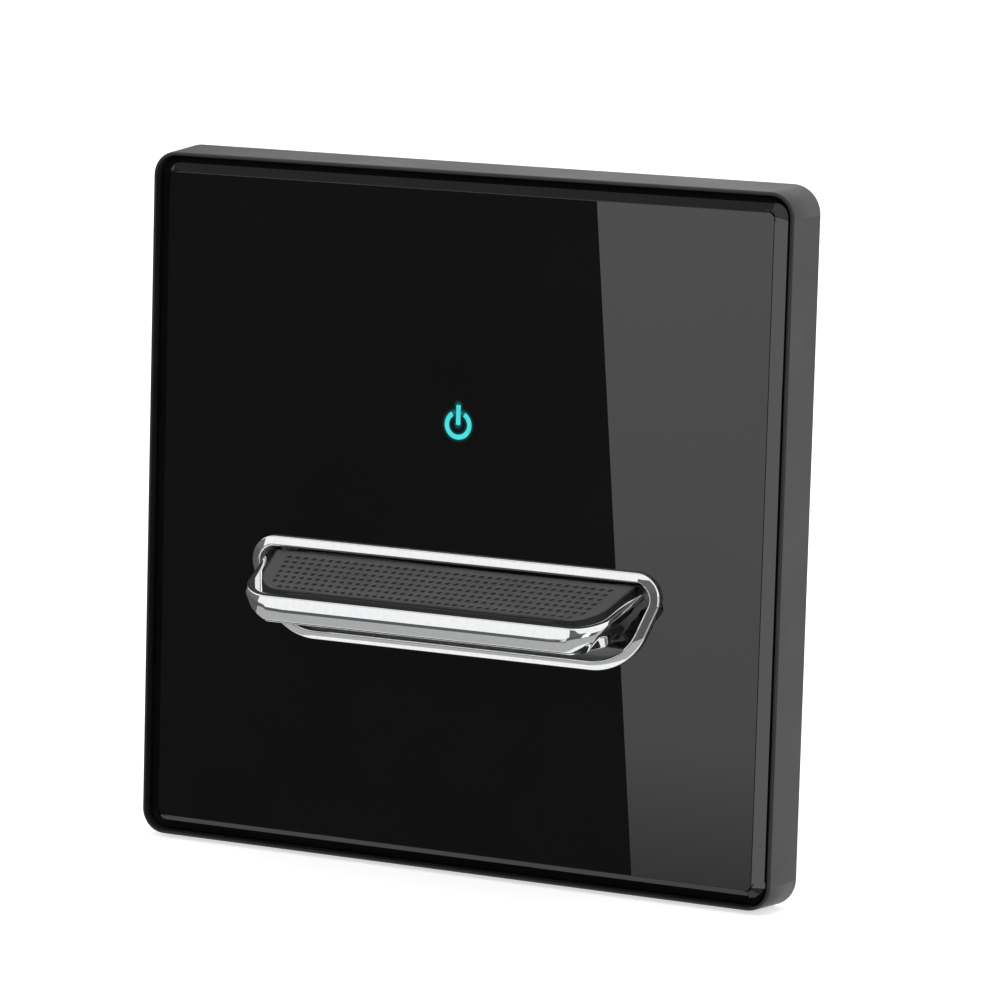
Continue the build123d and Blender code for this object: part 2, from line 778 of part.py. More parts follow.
def make_board_pins():
    """Two spring pins that take the board's supply from the line strips."""
    return Compound(on_both_sides(rod_y(board_pin_x, board_pin_z, board_pin_radius,
                                        board_front_y(), strip_y)))


def make_indicator_led():
    """Round light with a flat lens, looking forward through the base."""
    flange_y = board_front_y() - led_flange_height
    led = rod_y(0, icon_z, led_flange, flange_y, board_front_y())
    lens = rod_y(0, icon_z, led_radius, module_front_y, flange_y)
    return led + chamfer(lens.faces().sort_by(Axis.Y)[0].edges(), led_edge)


def make_led_resistor():
    """Chip resistor soldered beside the light, with a raised metal cap at each end."""
    left = resistor_x - resistor_length / 2
    right = resistor_x + resistor_length / 2
    z = (icon_z - resistor_width / 2, icon_z + resistor_width / 2)
    body_y = (board_front_y() - resistor_thickness, board_front_y())
    cap_y = (board_front_y() - resistor_thickness - resistor_cap_rise, board_front_y())
    chip = block((left, right), body_y, z)
    for low in (left, right - resistor_cap):
        chip += block((low, low + resistor_cap), cap_y, z)
    return chip


def make_light_guide():
    """Clear guide whose symbol-shaped tip fills the window in the glass."""
    guide = slab(power_symbol(), glass_back_y, front_y)
    flange_y = glass_back_y + guide_flange_thickness
    guide += rod_y(0, icon_z, guide_flange, glass_back_y, flange_y)
    return guide + rod_y(0, icon_z, guide_stem, flange_y, web_back_y)


def make_pieces():
    """Every piece of the switch, by name."""
    line_strip = make_line_strip()
    spring = make_return_spring()
    return {
        "panel_frame": make_panel_frame(),
        "glass_panel": make_glass_panel(),
        "glass_tape": make_glass_tape(),
        "lever_bezel": make_lever_bezel(),
        "key_body": make_key_body(),
        "key_pad": make_key_pad(),
        "key_carrier": make_key_carrier(),
        "key_screws": make_key_screws(),
        "pivot_pin": make_pivot_pin(),
        "return_spring_right": spring,
        "return_spring_left": Pos(-2 * spring_x, 0, 0) * spring,
        "module_base": make_module_base(),
        "partition": make_partition(),
        "rear_housing": make_rear_housing(),
        "case_screws": make_case_screws(),
        "mounting_yoke": make_mounting_yoke(),
        "slider": make_slider(),
        "contact_rocker": make_contact_rocker(),
        "rocker_tips": make_rocker_tips(),
        "rocker_pin": make_rocker_pin(),
        "line_strip_right": line_strip,
        "line_strip_left": mirror(line_strip, Plane.YZ),
        "common_strip": make_common_strip(),
        "fixed_tips": make_fixed_tips(),
        "terminal_left": make_terminal(-terminal_x),
        "terminal_common": make_terminal(0),
        "terminal_right": make_terminal(terminal_x),
        "terminal_screws": make_terminal_screws(),
        "indicator_board": make_indicator_board(),
        "board_screws": make_board_screws(),
        "board_pins": make_board_pins(),
        "indicator_led": make_indicator_led(),
        "led_resistor": make_led_resistor(),
        "light_guide": make_light_guide(),
    }


os.makedirs("parts", exist_ok=True)
for name, piece in make_pieces().items():
    export_step(piece, f"parts/{name}.step")
print("slider travel", round(slider_travel, 3), "rocker throw", round(rocker_throw, 3))
print("module back", round(module_back_y, 3), "rocker pin", round(rocker_y, 3), rocker_z)
print("pivot", round(pivot_y, 3), round(key_z, 3))
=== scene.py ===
"""Looks of a glass panel wall switch with a chrome key lever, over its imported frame."""

import logging
import math
from dataclasses import dataclass, field, replace
from enum import Enum
from typing import Iterable, Sequence

import bmesh
import bpy
from mathutils import Matrix, Vector


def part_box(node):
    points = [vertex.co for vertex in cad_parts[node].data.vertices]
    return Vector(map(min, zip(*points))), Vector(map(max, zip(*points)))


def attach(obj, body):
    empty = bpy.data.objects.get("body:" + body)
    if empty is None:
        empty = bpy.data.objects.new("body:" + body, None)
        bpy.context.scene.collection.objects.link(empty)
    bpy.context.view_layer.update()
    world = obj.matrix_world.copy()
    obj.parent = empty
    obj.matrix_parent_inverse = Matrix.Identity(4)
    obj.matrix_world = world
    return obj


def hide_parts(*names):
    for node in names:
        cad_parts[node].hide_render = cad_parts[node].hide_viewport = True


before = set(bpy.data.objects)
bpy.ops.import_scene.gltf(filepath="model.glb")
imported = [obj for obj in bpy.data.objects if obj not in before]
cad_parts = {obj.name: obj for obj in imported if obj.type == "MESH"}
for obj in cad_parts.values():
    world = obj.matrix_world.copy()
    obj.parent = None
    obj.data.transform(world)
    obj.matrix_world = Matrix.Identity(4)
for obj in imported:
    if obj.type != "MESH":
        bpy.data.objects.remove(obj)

MM = 0.001
MERGE = 0.0005
GLASS_Y = -6.8
GLASS_BACK_Y = -4.4
LOG = logging.getLogger("switch")

Colour = tuple[float, float, float]
Point = tuple[float, float, float]

WHITE: Colour = (1.0, 1.0, 1.0)
BLACK: Colour = (0.0, 0.0, 0.0)


class Body(Enum):
    """The frame's bodies that made pieces ride on."""

    ROOT = "root"
    KEY = "key"


class Spread(Enum):
    """Which way a metal's fine marks run."""

    EVEN = (1.0, 1.0, 1.0)
    ALONG_X = (0.06, 1.0, 1.0)
    ALONG_Y = (1.0, 0.06, 1.0)
    ALONG_Z = (1.0, 1.0, 0.06)


class Surface:
    """A material with short calls for the nodes that the finishes are made of."""

    def __init__(self, name: str) -> None:
        """Starts a material of that name."""
        self.material = bpy.data.materials.new(name)
        self.material.use_nodes = True
        self.tree = self.material.node_tree
        self.shader = self.tree.nodes["Principled BSDF"]
        self.place = self.tree.nodes.new("ShaderNodeTexCoord").outputs["Object"]

    def set(self, socket: str, value: float | Sequence[float]) -> None:
        """Sets a number, or a colour of three, on the shader's own socket."""
        if not isinstance(value, (int, float)):
            value = (*value, 1.0)
        self.shader.inputs[socket].default_value = value

    def feed(self, socket: str, source: bpy.types.NodeSocket) -> None:
        """Links a pattern to the shader."""
        self.tree.links.new(source, self.shader.inputs[socket])

    def node(self, kind: str, **values: object) -> bpy.types.Node:
        """Adds a node of a kind, with its properties by name."""
        made = self.tree.nodes.new(kind)
        for name, value in values.items():
            setattr(made, name, value)
        return made

    def put(self, target: bpy.types.NodeSocket, value: object) -> None:
        """Links a socket to an input, or sets the input to a number."""
        if isinstance(value, bpy.types.NodeSocket):
            self.tree.links.new(value, target)
        else:
            target.default_value = value

    def apart(self, coordinates: bpy.types.NodeSocket) -> dict[str, bpy.types.NodeSocket]:
        """The X, Y and Z of coordinates."""
        split = self.node("ShaderNodeSeparateXYZ")
        self.tree.links.new(coordinates, split.inputs[0])
        return {socket.name: socket for socket in split.outputs}

    def math(self, work: str, first: object, second: object = 0.0,
             third: object = 0.0) -> bpy.types.NodeSocket:
        """One step of arithmetic.

        Args:
            work: the Math node's operation.
            first: a socket or number.
            second: a socket or number.
            third: a socket or number, for the operations with three.

        Returns:
            The result.
        """
        step = self.node("ShaderNodeMath", operation=work)
        for target, value in zip(step.inputs, (first, second, third)):
            self.put(target, value)
        return step.outputs[0]

    def spread(self, scale: Sequence[float],
               shift: Sequence[float] = (0, 0, 0)) -> bpy.types.NodeSocket:
        """Object coordinates, moved and then stretched.

        Args:
            scale: stretch on each axis.
            shift: the point, in metres, that becomes the pattern's origin.

        Returns:
            The coordinates.
        """
        mapping = self.node("ShaderNodeMapping")
        mapping.inputs["Scale"].default_value = scale
        mapping.inputs["Location"].default_value = [-s * k for s, k in zip(shift, scale)]
        self.tree.links.new(self.place, mapping.inputs["Vector"])
        return mapping.outputs[0]

    def noise(self, size: float, detail: float = 2.0, stretch: Spread = Spread.EVEN) -> bpy.types.NodeSocket:
        """Cloudy pattern from 0 to 1.

        Args:
            size: width of one cloud, in millimetres.
            detail: octaves of finer clouds in it.
            stretch: direction in which the clouds are long.

        Returns:
            The pattern's value.
        """
        made = self.node("ShaderNodeTexNoise")
        made.inputs["Scale"].default_value = 1 / (size * MM)
        made.inputs["Detail"].default_value = detail
        self.tree.links.new(self.spread(stretch.value), made.inputs["Vector"])
        return made.outputs["Fac"]

    def between(self, source: bpy.types.NodeSocket, low: float, high: float,
                from_low: float = 0.3, from_high: float = 0.7) -> bpy.types.NodeSocket:
        """Turns a pattern into a range of numbers.

        Args:
            source: the pattern.
            low: result at the pattern's low end.
            high: result at the pattern's high end.
            from_low: the pattern's low end.
            from_high: the pattern's high end.

        Returns:
            The number.
        """
        made = self.node("ShaderNodeMapRange")
        for target, value in zip(made.inputs, (source, from_low, from_high, low, high)):
            self.put(target, value)
        return made.outputs[0]

    def blend(self, share: object, first: object, second: object) -> bpy.types.NodeSocket:
        """Mixes two colours.

        Args:
            share: how much of the second, as a socket or number.
            first: a colour of three, or a socket.
            second: a colour of three, or a socket.

        Returns:
            The mixed colour.
        """
        made = self.node("ShaderNodeMix", data_type="RGBA")
        self.put(made.inputs[0], share)
        for target, value in ((made.inputs[6], first), (made.inputs[7], second)):
            self.put(target, value if isinstance(value, bpy.types.NodeSocket) else (*value, 1.0))
        return made.outputs[2]

    def relief(self, height: bpy.types.NodeSocket, depth: float, strength: float = 1.0) -> None:
        """Raises the surface a little by a pattern.

        Args:
            height: the pattern.
            depth: its full height, in millimetres.
            strength: share of the effect.
        """
        bump = self.node("ShaderNodeBump")
        bump.inputs["Distance"].default_value = depth * MM
        bump.inputs["Strength"].default_value = strength
        self.tree.links.new(height, bump.inputs["Height"])
        self.feed("Normal", bump.outputs[0])


@dataclass(frozen=True)
class Finish:
    """What a piece is finished with; the name is the material's."""

    name: str

    def material(self) -> bpy.types.Material:
        """The finished material."""
        work = Surface(self.name)
        self.apply(work)
        return work.material

    def apply(self, work: Surface) -> None:
        """Gives the material its patterns and its gloss."""
        raise NotImplementedError


def shaded(colour: Colour, share: float) -> Colour:
    """A colour made darker, or lighter, by a factor."""
    return tuple(c * share for c in colour)


@dataclass(frozen=True)
class MouldedPlastic(Finish):
    """Injection-moulded plastic with a fine spark-eroded grain."""

    colour: Colour
    roughness: float
    uneven: float = 0.12
    grain: float = 0.22
    grain_depth: float = 0.006

    def apply(self, work: Surface) -> None:
        """Uneven colour, and grain in gloss and relief."""
        clouds = work.noise(9.0, 3.0)
        grain = work.noise(self.grain, 3.0)
        darker, lighter = shaded(self.colour, 1 - self.uneven), shaded(self.colour, 1 + self.uneven)
        work.feed("Base Color", work.blend(work.between(clouds, 0.0, 1.0), darker, lighter))
        rough = work.math("ADD", work.between(clouds, -0.04, 0.04), work.between(grain, -0.03, 0.03))
        work.feed("Roughness", work.math("ADD", rough, self.roughness))
        work.set("IOR", 1.5)
        work.relief(grain, self.grain_depth)


@dataclass(frozen=True)
class PlatedMetal(Finish):
    """Sheet or turned metal with drawn marks and a little tarnish."""

    colour: Colour
    tarnish: Colour
    roughness: float
    marks: Spread = Spread.EVEN
    mark_size: float = 0.25
    mark_depth: float = 0.002
    tarnish_share: float = 0.35

    def apply(self, work: Surface) -> None:
        """Metal with tarnish in clouds and marks in gloss and relief."""
        clouds = work.noise(4.0, 4.0)
        marks = work.noise(self.mark_size, 3.0, self.marks)
        share = work.between(clouds, 0.0, self.tarnish_share, 0.4, 0.75)
        work.feed("Base Color", work.blend(share, self.colour, self.tarnish))
        rough = work.math("ADD", work.between(clouds, 0.0, 0.12), work.between(marks, -0.05, 0.06))
        work.feed("Roughness", work.math("ADD", rough, self.roughness))
        work.set("Metallic", 1.0)
        work.relief(marks, self.mark_depth)


@dataclass(frozen=True)
class Chrome(Finish):
    """Bright decorative chrome over a polished casting, with faint polishing waves."""

    colour: Colour = (0.90, 0.91, 0.92)
    roughness: float = 0.03
    satin_y: float = -4.0
    satin: float = 0.0

    def apply(self, work: Surface) -> None:
        """Mirror with a faint haze, satin behind the given Y."""
        waves = work.noise(2.6, 1.0)
        haze = work.noise(0.6, 4.0)
        duller = shaded(self.colour, 0.94)
        work.feed("Base Color", work.blend(work.between(haze, 0.0, 1.0), self.colour, duller))
        depth = work.apart(work.place)["Y"]
        inside = work.between(depth, 0.0, self.satin, (self.satin_y - 0.3) * MM, self.satin_y * MM)
        polish = work.between(haze, self.roughness * 0.6, self.roughness * 1.6)
        work.feed("Roughness", work.math("ADD", inside, polish))
        work.set("Metallic", 1.0)
        work.relief(waves, 0.004, 0.2)


@dataclass(frozen=True)
class BackPaintedGlass(Finish):
    """Clear glass with black paint behind it, which the symbol's light shines into."""

    paint: Colour
    glow: Colour
    glow_centre: Point
    glow_radius: float
    glow_bar_top: float
    glow_reach: float = 0.75
    glow_level: float = 0.42

    def apply(self, work: Surface) -> None:
        """Black gloss with a thin film, and light round the symbol."""
        film = work.noise(14.0, 4.0)
        specks = work.noise(0.35, 2.0)
        paler = shaded(self.paint, 1.5)
        work.feed("Base Color", work.blend(work.between(film, 0.0, 1.0), self.paint, paler))
        rough = work.math("ADD", work.between(film, 0.001, 0.003), work.between(specks, 0.0, 0.001))
        work.feed("Roughness", rough)
        work.set("IOR", 1.5)
        work.feed("Emission Strength", self._halo(work))
        work.set("Emission Color", self.glow)

    def _halo(self, work: Surface) -> bpy.types.NodeSocket:
        """Light that spreads in the glass, falling off with the distance from the symbol."""
        centred = work.spread((1.0, 0.0, 1.0), self.glow_centre)
        place = work.apart(centred)
        across, up = place["X"], place["Z"]
        length = work.node("ShaderNodeVectorMath", operation="LENGTH")
        work.tree.links.new(centred, length.inputs[0])
        from_ring = work.math("SUBTRACT", length.outputs["Value"], self.glow_radius * MM)
        nearest = work.math("MINIMUM", work.math("MAXIMUM", up, 0.0), self.glow_bar_top * MM)
        rise = work.math("SUBTRACT", up, nearest)
        squares = work.math("MULTIPLY_ADD", across, across, work.math("MULTIPLY", rise, rise))
        away = work.math("MINIMUM", work.math("ABSOLUTE", from_ring), work.math("SQRT", squares))
        fall = work.between(away, 1.0, 0.0, 0.0, self.glow_reach * MM)
        return work.math("MULTIPLY", work.math("MULTIPLY", fall, fall), self.glow_level)


@dataclass(frozen=True)
class SoftTouch(Finish):
    """Matt rubber-like coat of the key's pad."""

    colour: Colour
    crown: Point
    slope: float
    roughness: float = 0.62
    shade_starts_at: float = -0.04
    full_shade_at: float = -0.10

    def apply(self, work: Surface) -> None:
        """Matt coat, with painted shade down in the dimples."""
        clouds = work.noise(3.5, 3.0)
        grain = work.noise(0.16, 3.0)
        coat = work.blend(work.between(clouds, 0.0, 1.0), self.colour, shaded(self.colour, 1.18))
        # painted shade: the coat turns near black the deeper a place lies in a dimple
        work.feed("Base Color", work.blend(self._dimple_shade(work), coat, shaded(self.colour, 0.08)))
        work.feed("Roughness", work.math("ADD", work.between(grain, -0.06, 0.06), self.roughness))
        work.set("IOR", 1.46)
        work.relief(grain, 0.010)

    def _dimple_shade(self, work: Surface) -> bpy.types.NodeSocket:
        """How far a place lies down in a dimple, from 0 at the top to 1; this share paints the shade in the
        dimples.
        """
        place = work.apart(work.spread((1.0, 1.0, 1.0), [c * MM for c in self.crown]))
        sloped = work.math("MULTIPLY_ADD", place["Y"], -self.slope, place["Z"])
        return work.between(sloped, 1.0, 0.0, self.full_shade_at * MM, self.shade_starts_at * MM)


@dataclass(frozen=True)
class FoamTape(Finish):
    """Closed-cell foam with open bubbles on its cut edge."""

    colour: Colour

    def apply(self, work: Surface) -> None:
        """Bubbles in relief, with painted shade down in their pits."""
        cells = work.node("ShaderNodeTexVoronoi")
        cells.inputs["Scale"].default_value = 1 / (0.18 * MM)
        work.tree.links.new(work.place, cells.inputs["Vector"])
        depth = cells.outputs["Distance"]
        # painted shade: the colour darkens towards each cell's middle, where the relief dips into a pit
        clear_of_pit_shade = work.between(depth, 0.0, 1.0, 0.1, 0.7)
        work.feed("Base Color", work.blend(clear_of_pit_shade, shaded(self.colour, 0.6), self.colour))
        work.feed("Roughness", work.between(depth, 0.95, 0.8, 0.1, 0.7))
        work.relief(depth, 0.05)


@dataclass(frozen=True)
class CircuitMask(Finish):
    """Green solder mask over copper tracks."""

    mask: Colour
    track: Colour
    glass: Colour

    def apply(self, work: Surface) -> None:
        """Tracks under the mask, over the board's weave."""
        tracks = work.node("ShaderNodeTexBrick", offset=0.37, squash=0.8)
        for socket, value in (
            ("Scale", 1 / (14.0 * MM)), ("Mortar Size", 0.045), ("Mortar Smooth", 0.15),
            ("Color1", (*self.mask, 1)), ("Color2", (*shaded(self.mask, 1.15), 1)),
            ("Mortar", (*self.track, 1)),
        ):
            tracks.inputs[socket].default_value = value
        turn = work.node("ShaderNodeMapping")
        turn.inputs["Rotation"].default_value = (math.pi / 2, 0, 0)
        work.tree.links.new(work.place, turn.inputs["Vector"])
        work.tree.links.new(turn.outputs[0], tracks.inputs["Vector"])
        weave = work.noise(0.5, 2.0)
        share = work.between(weave, 0.0, 0.35)
        work.feed("Base Color", work.blend(share, tracks.outputs["Color"], self.glass))
        work.feed("Roughness", work.between(weave, 0.24, 0.36))
        work.relief(tracks.outputs["Fac"], 0.035)


@dataclass(frozen=True)
class LitGuide(Finish):
    """Clear guide: its symbol-shaped tip is lit, the flange behind stays clear."""

    light: Colour
    tip_y: float
    strength: float = 1.0

    def apply(self, work: Surface) -> None:
        """Light that fades from the tip backwards."""
        depth = work.apart(work.place)["Y"]
        tip = work.between(depth, 1.0, 0.08, (self.tip_y + 0.4) * MM, (self.tip_y + 2.6) * MM)
        clouds = work.noise(0.8, 2.0)
        level = work.math("MULTIPLY", tip, work.between(clouds, 0.9 * self.strength, self.strength))
        work.feed("Emission Strength", level)
        work.set("Emission Color", self.light)
        work.set("Base Color", (0.02, 0.10, 0.10))
        work.feed("Roughness", work.between(clouds, 0.10, 0.2))
        work.set("IOR", 1.49)


@dataclass(frozen=True)
class LampLens(Finish):
    """Milky lens of the small lamp, glowing from inside."""

    light: Colour
    body: Colour

    def apply(self, work: Surface) -> None:
        """Milky gloss with a weak light."""
        clouds = work.noise(0.9, 2.0)
        milk = work.blend(work.between(clouds, 0.0, 1.0), self.body, shaded(self.body, 0.85))
        work.feed("Base Color", milk)
        work.feed("Roughness", work.between(clouds, 0.12, 0.22))
        work.set("IOR", 1.5)
        work.set("Emission Color", self.light)
        work.set("Emission Strength", 0.35)


@dataclass(frozen=True)
class ChipCeramic(Finish):
    """Black chip with tinned caps at both ends."""

    body: Colour
    cap: Colour
    middle: Point
    body_half: float

    def apply(self, work: Surface) -> None:
        """Dull black between two metal caps."""
        out = work.math("ABSOLUTE", work.apart(work.spread((1.0, 1.0, 1.0), self.middle))["X"])
        is_cap = work.math("GREATER_THAN", out, self.body_half * MM)
        grain = work.noise(0.25, 2.0)
        dull = work.blend(work.between(grain, 0.0, 1.0), self.body, shaded(self.body, 1.6))
        work.feed("Base Color", work.blend(is_cap, dull, self.cap))
        work.feed("Metallic", is_cap)
        work.feed("Roughness", work.between(grain, 0.3, 0.42))
        work.relief(grain, 0.004)


def only(kind: type, geom: Iterable) -> list:
    """The vertices, edges or faces among what an operator made."""
    return [g for g in geom if isinstance(g, kind)]


def clamp(value: float, limit: float) -> float:
    """A number held between a limit and its negative."""
    return max(-limit, min(limit, value))


def chain(bm: bmesh.types.BMesh, points: Iterable[Sequence[float]],
          rounds: Sequence[float], steps: int) -> None:
    """Draws a bent line and rounds its corners.

    Args:
        bm: an empty mesh.
        points: the line's corners.
        rounds: how far each corner is rounded, 0 for a sharp one or an end.
        steps: segments of each rounding.
    """
    corners = [bm.verts.new(p) for p in points]
    for first, second in zip(corners, corners[1:]):
        bm.edges.new((first, second))
    for corner, offset in zip(corners, rounds):
        if offset:
            bmesh.ops.bevel(bm, geom=[corner], offset=offset, offset_type="OFFSET", segments=steps,
                            profile=0.5, affect="VERTICES", material=-1)


def turn_round(bm: bmesh.types.BMesh, geom: list, centre: Point, axis: Point,
               angle: float, steps: int) -> list:
    """Sweeps a line round an axis.

    Args:
        bm: the mesh.
        geom: the line's vertices and edges.
        centre: a point on the axis.
        axis: the axis.
        angle: how far, in degrees.
        steps: segments.

    Returns:
        The vertices and edges where the sweep ends.
    """
    made = bmesh.ops.spin(bm, geom=geom, cent=centre, axis=axis, angle=math.radians(angle),
                          steps=steps, use_duplicate=False)
    return made["geom_last"]


def push_along(bm: bmesh.types.BMesh, geom: list, way: Sequence[float]) -> list:
    """Sweeps a line, or a single point, straight.

    Args:
        bm: the mesh.
        geom: the line's vertices and edges.
        way: the vector that it moves by.

    Returns:
        The vertices and edges where the sweep ends.
    """
    edges = only(bmesh.types.BMEdge, geom)
    if edges:
        made = bmesh.ops.extrude_edge_only(bm, edges=edges)["geom"]
    else:
        made = bmesh.ops.extrude_vert_indiv(bm, verts=geom)["verts"]
    bmesh.ops.translate(bm, vec=way, verts=only(bmesh.types.BMVert, made))
    return [g for g in made if not isinstance(g, bmesh.types.BMFace)]


@dataclass(frozen=True)
class Corner:
    """One round corner of an outline, seen from the front."""

    x: float
    z: float
    radius: float
    turn: float
    steps: int


@dataclass(frozen=True)
class Outline:
    """A closed line of straight runs and round corners, from the bottom right anticlockwise."""

    corners: tuple[Corner, ...]

    @classmethod
    def leaning(cls, lower: Sequence[float], upper: Sequence[float], lean: float,
                steps: tuple[int, int]) -> "Outline":
        """An outline that is alike on both sides.

        Args:
            lower: X, Z and radius of its lower corners.
            upper: X, Z and radius of its upper corners.
            lean: how far the sides lean in towards the bottom, in degrees.
            steps: segments of a lower and of an upper corner.

        Returns:
            The outline.
        """
        low = Corner(*lower, 90 - lean, steps[0])
        high = Corner(*upper, 90 + lean, steps[1])
        return cls((low, high, replace(high, x=-high.x), replace(low, x=-low.x)))

    def start(self, inset: float, y: float) -> Point:
        """The place where the outline begins, moved inward by an inset."""
        first = self.corners[0]
        return (first.x, y, first.z - first.radius + inset)

    def carry(self, bm: bmesh.types.BMesh, geom: list) -> None:
        """Sweeps a section or a point that lies at the start once round the outline.

        Args:
            bm: the mesh.
            geom: the section's vertices and edges.
        """
        heading = -90.0
        for corner, after in zip(self.corners, (*self.corners[1:], self.corners[0])):
            geom = turn_round(bm, geom, (corner.x, 0, corner.z), (0, -1, 0), corner.turn, corner.steps)
            heading += corner.turn
            out = Vector((math.cos(math.radians(heading)), 0, math.sin(math.radians(heading))))
            way = Vector((after.x - corner.x, 0, after.z - corner.z)) + out * (after.radius - corner.radius)
            if way.length > 0.001:
                geom = push_along(bm, geom, way)

    def draw(self, bm: bmesh.types.BMesh, inset: float, y: float) -> None:
        """Draws the outline as a line, moved inward by an inset."""
        self.carry(bm, [bm.verts.new(self.start(inset, y))])


def round_off(corners: Sequence[tuple[tuple[float, float], float, int]]) -> list[tuple[float, float]]:
    """Rounds the corners of a bent line in a plane.

    Args:
        corners: for each corner its place, its radius and its segments; 0 segments leaves it sharp.

    Returns:
        The line's points, always as many for the same segments.
    """
    points = []
    for index, (place, radius, steps) in enumerate(corners):
        here = Vector(place)
        if not steps:
            points.append(tuple(here))
            continue
        before = Vector(corners[index - 1][0]) - here
        after = Vector(corners[index + 1][0]) - here
        turn = math.pi - before.angle(after)
        reach = min(radius * math.tan(turn / 2), 0.46 * before.length, 0.46 * after.length)
        first = here + before.normalized() * reach
        last = here + after.normalized() * reach
        for step in range(steps + 1):
            share = step / steps
            rest = 1 - share
            points.append(tuple(first * rest ** 2 + here * 2 * share * rest + last * share ** 2))
    return points


def outer_loop(bm: bmesh.types.BMesh) -> list[bmesh.types.BMEdge]:
    """The edges that have a face on one side only."""
    return [e for e in bm.edges if e.is_boundary]


def as_object(name: str, bm: bmesh.types.BMesh, material: bpy.types.Material) -> bpy.types.Object:
    """Puts a mesh into the scene as an object with one material; the mesh is used up."""
    mesh = bpy.data.meshes.new(name)
    bm.to_mesh(mesh)
    bm.free()
    mesh.materials.append(material)
    made = bpy.data.objects.new(name, mesh)
    bpy.context.scene.collection.objects.link(made)
    return made


def make_piece(name: str, bm: bmesh.types.BMesh, material: bpy.types.Material, body: Body,
               replaces: Sequence[str] = (), flat_over: float = 1000.0) -> None:
    """Makes a mesh drawn in millimetres into a piece that rides on a body.

    Args:
        name: the piece's name.
        bm: the mesh, which is used up.
        material: its finish.
        body: what it rides on.
        replaces: the frame's nodes that it stands for.
        flat_over: faces larger than this, in square millimetres, are shaded flat.
    """
    bmesh.ops.remove_doubles(bm, verts=bm.verts, dist=MERGE)
    bmesh.ops.recalc_face_normals(bm, faces=bm.faces)
    for face in bm.faces:
        face.smooth = face.calc_area() < flat_over
    bmesh.ops.scale(bm, vec=(MM, MM, MM), verts=bm.verts)
    piece = as_object(name, bm, material)
    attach(piece, body.value)
    if replaces:
        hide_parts(*replaces)
    LOG.info("piece %s: %d faces", name, len(piece.data.polygons))


def dress(node: str, material: bpy.types.Material) -> bpy.types.Object:
    """Gives one of the frame's nodes its finish.

    Args:
        node: the node's name.
        material: the finish.

    Returns:
        The node's object.
    """
    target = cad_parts[node]
    target.data.materials.clear()
    target.data.materials.append(material)
    LOG.info("node %s: %s", node, material.name)
    return target


def soften_edges(target: bpy.types.Object, width: float, angle: float = 20.0, segments: int = 2) -> None:
    """Takes the knife edge off a node, so that its edges catch light.

    Args:
        target: the node's object.
        width: width of the softened edge, in millimetres.
        angle: edges that bend by less than this many degrees are left.
        segments: facets across the edge.
    """
    weld = target.modifiers.new("Weld", "WELD")
    weld.merge_threshold = 0.002 * MM
    bevel = target.modifiers.new("Soft edges", "BEVEL")
    bevel.width = width * MM
    bevel.segments = segments
    bevel.limit_method = "ANGLE"
    bevel.angle_limit = math.radians(angle)
    bevel.harden_normals = True


@dataclass(frozen=True)
class Flag:
    """A curved board round the front, in metres and in degrees of elevation and compass."""

    name: str
    level: float
    radius: float
    low: float
    high: float
    start: float
    end: float


@dataclass(frozen=True)
class Lamp:
    """A square lamp that looks at the switch, in metres and watts."""

    name: str
    place: Point
    size: float
    power: float


